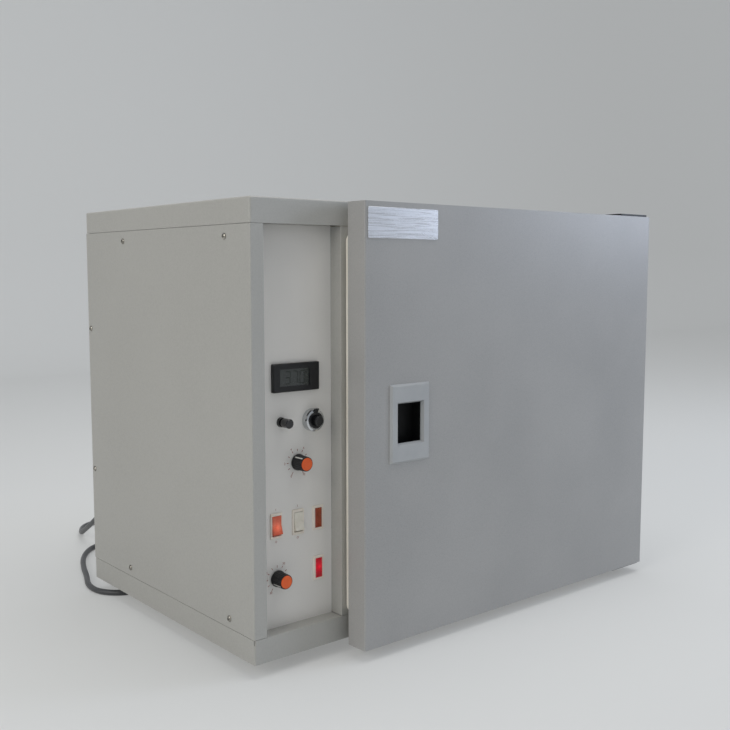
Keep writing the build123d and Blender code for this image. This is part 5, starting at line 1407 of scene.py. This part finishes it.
@dataclass
class MainsLead(Assembly):
    """The cord from the gland over the bench to its coil and plug.

    Attributes:
        diameter: the sheath's diameter.
        rest: height of the cord's centre above the bench.
        turns: turns of spare cord in the coil.
        coil_radius: radius at the middle of the turns.
        coil_centre: the coil's centre, from the cabinet's left front edge.
        coil_lift: height of the coil's middle above the bench.
        pin_root: distance from the coil to the plug's face along its tilted axis.
        pin_pitch: distance between the pins.
        boot_length: length of the gland's tapered boot.
        rib_count: number of ribs on the boot.
        rib_base: radius of a rib at the boot's wide end.
        rib_tip: radius of a rib at its thin end.
        rib_width: width of a rib.
        rib_span: places of the first and last rib as shares of the boot's length.
        rib_core: radius of a rib's hole, inside the boot.
        rib_crown: how far a rib's middle stands above its sides.
        plug_entry: distance from the plug's lowest x to the cord's end.
        plug_tilt: the plug's tilt in degrees, as it leans on its shoulder.
        plug_height: height of the cord's end above the bench.
        plug_run: length of cord that runs straight into the plug.
        pin_radius: radius of a pin's sleeve.
        pin_tip_radius: radius of its flat tip.
        pin_length: distance from the plug's face to the start of the tip's bevel.
        pin_tip: distance from the plug's face to the tip.
    """

    diameter: float = 6.6
    rest: float = 3.5
    turns: float = 3.25
    coil_radius: float = 37.0
    coil_centre: tuple[float, float] = (337.0, 428.0)
    coil_lift: float = 6.9
    pin_root: float = 86.1
    pin_pitch: float = 19.0
    boot_length: float = 30.0
    rib_count: int = 7
    rib_base: float = 6.7
    rib_tip: float = 4.7
    rib_width: float = 1.6
    rib_span: tuple[float, float] = (0.26, 0.90)
    rib_core: float = 2.0
    rib_crown: float = 0.3
    plug_entry: float = 4.0
    plug_tilt: float = 12.3
    plug_height: float = 13.8
    plug_run: float = 14.0
    pin_radius: float = 2.45
    pin_tip_radius: float = 1.7
    pin_length: float = 18.1
    pin_tip: float = 19.05

    def route(self) -> list[tuple[float, float, float]]:
        """Lists the given points from the gland's boot to the coil.

        Returns:
            Points measured from the cabinet's left front corner and the bench.
        """
        low = self.rest
        return [
            (60, 365, 78), (60, 400, 78), (62, 440, 64), (66, 492, 34), (71, 527, 17), (79, 560, low),
            (97, 595, low), (133, 607, low), (165, 587, low), (170, 548, low),
            (143, 518, low), (102, 499, low), (61, 485, low), (35, 452, low),
            (17, 410, low), (5, 372, low), (-8, 340, low), (-8, 309, low),
            (14, 286, low), (50, 286, low), (103, 299, low), (160, 301, low),
            (213, 298, low), (262, 312, low), (300, 350, 4.0), (300, 398, 4.0),
        ]

    def coil(self) -> list[list[float]]:
        """Works out the coil's points, clockwise from its left, in two layers of two lanes.

        A lane is (distance outside the coil's radius, height). A turn keeps its lane for its first
        part and crosses to the next one over the rest. A point is x = r cos(angle), y = r sin(angle)
        from the centre, with r divided by the share of it that the smooth curve keeps.

        Returns:
            Points measured from the cabinet's left front corner and the bench.
        """
        steps, straight, kept = 16, 0.6, 0.985
        lanes = np.array([(3.4, 3.5), (-3.4, 3.5), (-3.4, 10.2), (3.4, 10.2)])
        number = np.arange(round(self.turns * steps) + 1)
        lane, part = number // steps, number % steps / steps
        before, after = lanes[lane], lanes[np.minimum(lane + 1, len(lanes) - 1)]
        share = np.maximum(0.0, (part - straight) / (1 - straight))[:, None]
        out, lift = (before + (after - before) * share).T
        angle = pi - 2 * pi * number / steps
        radius = (self.coil_radius + out) / kept
        x, y = self.coil_centre
        points = np.stack([x + radius * np.cos(angle), y + radius * np.sin(angle), lift], axis=-1)
        return points.tolist()

    def cord(self) -> bpy.types.Object:
        """Makes the cord as one smooth curve along the route, round the coil and into the plug.

        Returns:
            The cord as a curve with a round section.
        """
        left, front = corners("base_tray")[0][:2]
        plug_x, plug_y = corners("mains_plug")[0][0] + self.plug_entry, middle("mains_plug")[1]
        tilt = radians(self.plug_tilt)
        points = self.route() + self.coil()
        placed = [(left + x, front + y, z) for x, y, z in points]
        for back in (self.plug_run, 0.0):
            placed.append((plug_x - back * cos(tilt), plug_y, self.plug_height - back * sin(tilt)))
        curve = bpy.data.curves.new("mains_cord", "CURVE")
        curve.dimensions = "3D"
        curve.bevel_depth = self.diameter / 2 * MM
        curve.bevel_resolution = 5
        curve.resolution_u = 8
        curve.use_fill_caps = True
        spline = curve.splines.new("NURBS")
        spline.points.add(len(placed) - 1)
        for point, place in zip(spline.points, placed):
            point.co = (*[value * MM for value in place], 1.0)
        spline.order_u = 3
        spline.use_endpoint_u = True
        piece = bpy.data.objects.new("mains_cord", curve)
        bpy.context.scene.collection.objects.link(piece)
        return self.keep(
            piece, "cabinet", "cord_grey", "pvc_sheath", PVC_SHEATH, ("mains_cord_run", "mains_cord_coil")
        )

    def relief_ribs(self) -> bpy.types.Object:
        """Moulds the ribs along the gland's tapered boot.

        Each rib is a ring whose radius falls with the boot's: r = base + (tip - base) * along.

        Returns:
            The ribs.
        """
        left, front = corners("base_tray")[0][:2]
        x, y, z = self.route()[0]
        ribs = Builder("strain_relief_ribs")
        for along in np.linspace(*self.rib_span, self.rib_count):
            radius = self.rib_base + (self.rib_tip - self.rib_base) * along
            seat = Seat((left + x, front + y - self.boot_length * (1 - along), z), (1, 0, 0), (0, 1, 0))
            half = self.rib_width / 2
            core, crest = self.rib_core, radius + self.rib_crown
            profile = [(core, -half), (radius, -half), (crest, 0.0), (radius, half), (core, half)]
            ribs.add_turned(seat, profile + profile[:1], 40)
        return self.keep(ribs.finish(), "cabinet", "cord_grey", "plug_pvc", PLUG_PVC)

    def plug_pins(self) -> bpy.types.Object:
        """Sleeves the plug's two pins in bright metal, with bevelled tips.

        A sleeve is a profile of radius and height turned about the pin's tilted axis.

        Returns:
            Both sleeves as one piece.
        """
        left, front = corners("base_tray")[0][:2]
        tilt = radians(self.plug_tilt)
        x = left + self.coil_centre[0] + self.pin_root * cos(tilt)
        y = front + self.coil_centre[1] + self.coil_radius
        z = self.coil_lift + self.pin_root * sin(tilt)
        pins = Builder("plug_pins")
        for side in (-self.pin_pitch / 2, self.pin_pitch / 2):
            seat = Seat((x, y + side, z), (0, 1, 0), (cos(tilt), 0, sin(tilt)))
            profile = [(POLE, -1.0), (self.pin_radius, -1.0), (self.pin_radius, self.pin_length)]
            profile += [(self.pin_tip_radius, self.pin_tip), (POLE, self.pin_tip)]
            pins.add_turned(seat, profile, 32)
        return self.keep(pins.finish(), "cabinet", "screw_steel", "nickel_screws", NICKEL_SCREW)

    def build(self) -> None:
        """Makes the cord, its relief and the plug's pins, and dresses the gland and the plug."""
        self.coat({"mains_gland": ("plug_pvc", PLUG_PVC), "mains_plug": ("plug_pvc", PLUG_PVC)})
        self.cord()
        self.relief_ribs()
        self.plug_pins()


# Studio


@dataclass(frozen=True)
class Lamp:
    """A soft square lamp.

    Attributes:
        name: the lamp's name.
        place: where it hangs, in metres.
        target: the point it faces.
        size: its side in metres.
        power: its power in watts.
        colour: sRGB hex colour of its light.
    """

    name: str
    place: tuple[float, float, float]
    target: tuple[float, float, float]
    size: float
    power: float
    colour: str


LAMPS = (
    Lamp("overhead", (0.2, -0.2, 2.2), (0.0, 0.0, 0.2), 1.6, 20.0, "#FFFFFF"),
    Lamp("left_window", (-2.4, -0.4, 1.3), (0.0, 0.0, 0.2), 1.4, 19.0, "#FFFAF2"),
    Lamp("right_window", (2.0, -1.25, 0.85), (0.2, -0.15, 0.35), 0.8, 15.0, "#DCE8FF"),
)


@dataclass
class Studio:
    """Floor, backdrop, lamps and the camera at the photograph's angle.

    Attributes:
        camera_place: the camera in metres.
        yaw: turn of the view to the right of straight ahead, in degrees.
        pitch: tilt downwards in degrees.
        lens: focal length for a 36 mm sensor.
        own_light: share of the stage's colour that doesn't depend on the lamps.
        bend: radius of the curve between floor and backdrop, in metres.
        room_light: strength of the light from all round.
    """

    camera_place: tuple[float, float, float] = (-0.7326, -0.8578, 0.3700)
    yaw: float = 39.878
    pitch: float = 5.625
    lens: float = 47.55
    own_light: float = 0.35
    bend: float = 0.5
    room_light: float = 0.49

    def camera(self) -> None:
        """Places the camera."""
        data = bpy.data.cameras.new("photo_camera")
        data.lens = self.lens
        data.sensor_width = 36.0
        data.clip_start = 0.01
        camera = bpy.data.objects.new("photo_camera", data)
        bpy.context.scene.collection.objects.link(camera)
        yaw, pitch = radians(self.yaw), radians(self.pitch)
        look = Vector((sin(yaw) * cos(pitch), cos(yaw) * cos(pitch), -sin(pitch)))
        camera.location = self.camera_place
        camera.rotation_mode = "QUATERNION"
        camera.rotation_quaternion = look.to_track_quat("-Z", "Y")
        bpy.context.scene.camera = camera

    def hang(self, plan: Lamp) -> None:
        """Hangs a lamp that the camera itself doesn't see.

        Args:
            plan: the lamp's values.
        """
        data = bpy.data.lights.new(plan.name, "AREA")
        data.shape = "SQUARE"
        data.size = plan.size
        data.energy = plan.power
        data.color = linear(plan.colour)[:3]
        lamp = bpy.data.objects.new(plan.name, data)
        bpy.context.scene.collection.objects.link(lamp)
        lamp.visible_camera = False
        lamp.location = plan.place
        lamp.rotation_mode = "QUATERNION"
        aim = Vector(plan.target) - Vector(plan.place)
        lamp.rotation_quaternion = aim.to_track_quat("-Z", "Y")

    def pale(self, name: str, seen: str) -> bpy.types.Material:
        """Makes the stage's material: pale to the camera and to reflections, with the shadow kept.

        Args:
            name: the material's name.
            seen: sRGB hex colour that the camera sees.

        Returns:
            The material.
        """
        material = bpy.data.materials.new(name)
        material.use_nodes = True
        tree = material.node_tree
        tree.nodes.clear()
        rays = add_node(tree, "ShaderNodeLightPath")
        seen_or_mirrored = add_node(
            tree,
            "ShaderNodeMath",
            {"operation": "MAXIMUM"},
            {0: (rays, "Is Camera Ray"), 1: (rays, "Is Glossy Ray")},
        )
        direct = add_node(
            tree,
            "ShaderNodeMath",
            {"operation": "MAXIMUM"},
            {0: (seen_or_mirrored, 0), 1: (rays, "Is Transmission Ray")},
        )
        matt = add_node(tree, "ShaderNodeBsdfDiffuse", {"Color": linear(seen)})
        glow = add_node(tree, "ShaderNodeEmission", {"Color": linear(seen), "Strength": 1.0})
        share = add_node(
            tree, "ShaderNodeMath", {"operation": "MULTIPLY", 1: self.own_light}, {0: (direct, 0)}
        )
        mix = add_node(tree, "ShaderNodeMixShader", {}, {0: (share, 0), 1: (matt, 0), 2: (glow, 0)})
        add_node(tree, "ShaderNodeOutputMaterial", {}, {"Surface": (mix, 0)})
        return material

    def stage(self) -> None:
        """Makes the floor and a backdrop that curves up behind it: a quarter circle between flats."""
        steps, front, foot, height = 16, -4.0, 2.4, 3.2
        turn = np.linspace(0, pi / 2, steps)
        along = np.concatenate([[front], foot + self.bend * np.sin(turn), [foot + self.bend]])
        up = np.concatenate([[0.0], self.bend * (1 - np.cos(turn)), [height]])
        width = np.array([-4.0, 6.0])
        grid_x = np.repeat(width[None, :], len(along), 0)
        grid_y = np.repeat(along[:, None], 2, 1)
        grid_z = np.repeat(up[:, None], 2, 1)
        points = np.stack([grid_x, grid_y, grid_z], axis=-1).reshape(-1, 3)
        faces = grid_faces(len(along), 2, False)
        mesh = bpy.data.meshes.new("pale_stage")
        mesh.from_pydata(points.tolist(), [], faces.tolist())
        mesh.polygons.foreach_set("use_smooth", [True] * len(mesh.polygons))
        stage = bpy.data.objects.new("pale_stage", mesh)
        bpy.context.scene.collection.objects.link(stage)
        stage.data.materials.append(self.pale("pale_floor", "#D9DAD9"))

    def world(self) -> None:
        """Gives the surroundings a plain soft light."""
        world = bpy.data.worlds.new("soft_room")
        bpy.context.scene.world = world
        world.use_nodes = True
        sky = world.node_tree.nodes["Background"]
        sky.inputs["Color"].default_value = linear("#DDE2E8")
        sky.inputs["Strength"].default_value = self.room_light

    def build(self) -> None:
        """Sets up the whole studio."""
        bpy.context.scene.view_settings.view_transform = "Standard"
        self.camera()
        self.stage()
        self.world()
        for plan in LAMPS:
            self.hang(plan)
        log.info("studio ready")


def main() -> None:
    """Builds the sub-assemblies in order."""
    shop = Paintshop()
    Studio().build()
    MainsLead(shop).build()
    Cabinet(shop).build()
    ControlColumn(shop).build()
    Chamber(shop).build()
    Door(shop).build()
    log.info("boxes written")


if __name__ == "__main__":
    logging.basicConfig(level=logging.INFO)
    main()
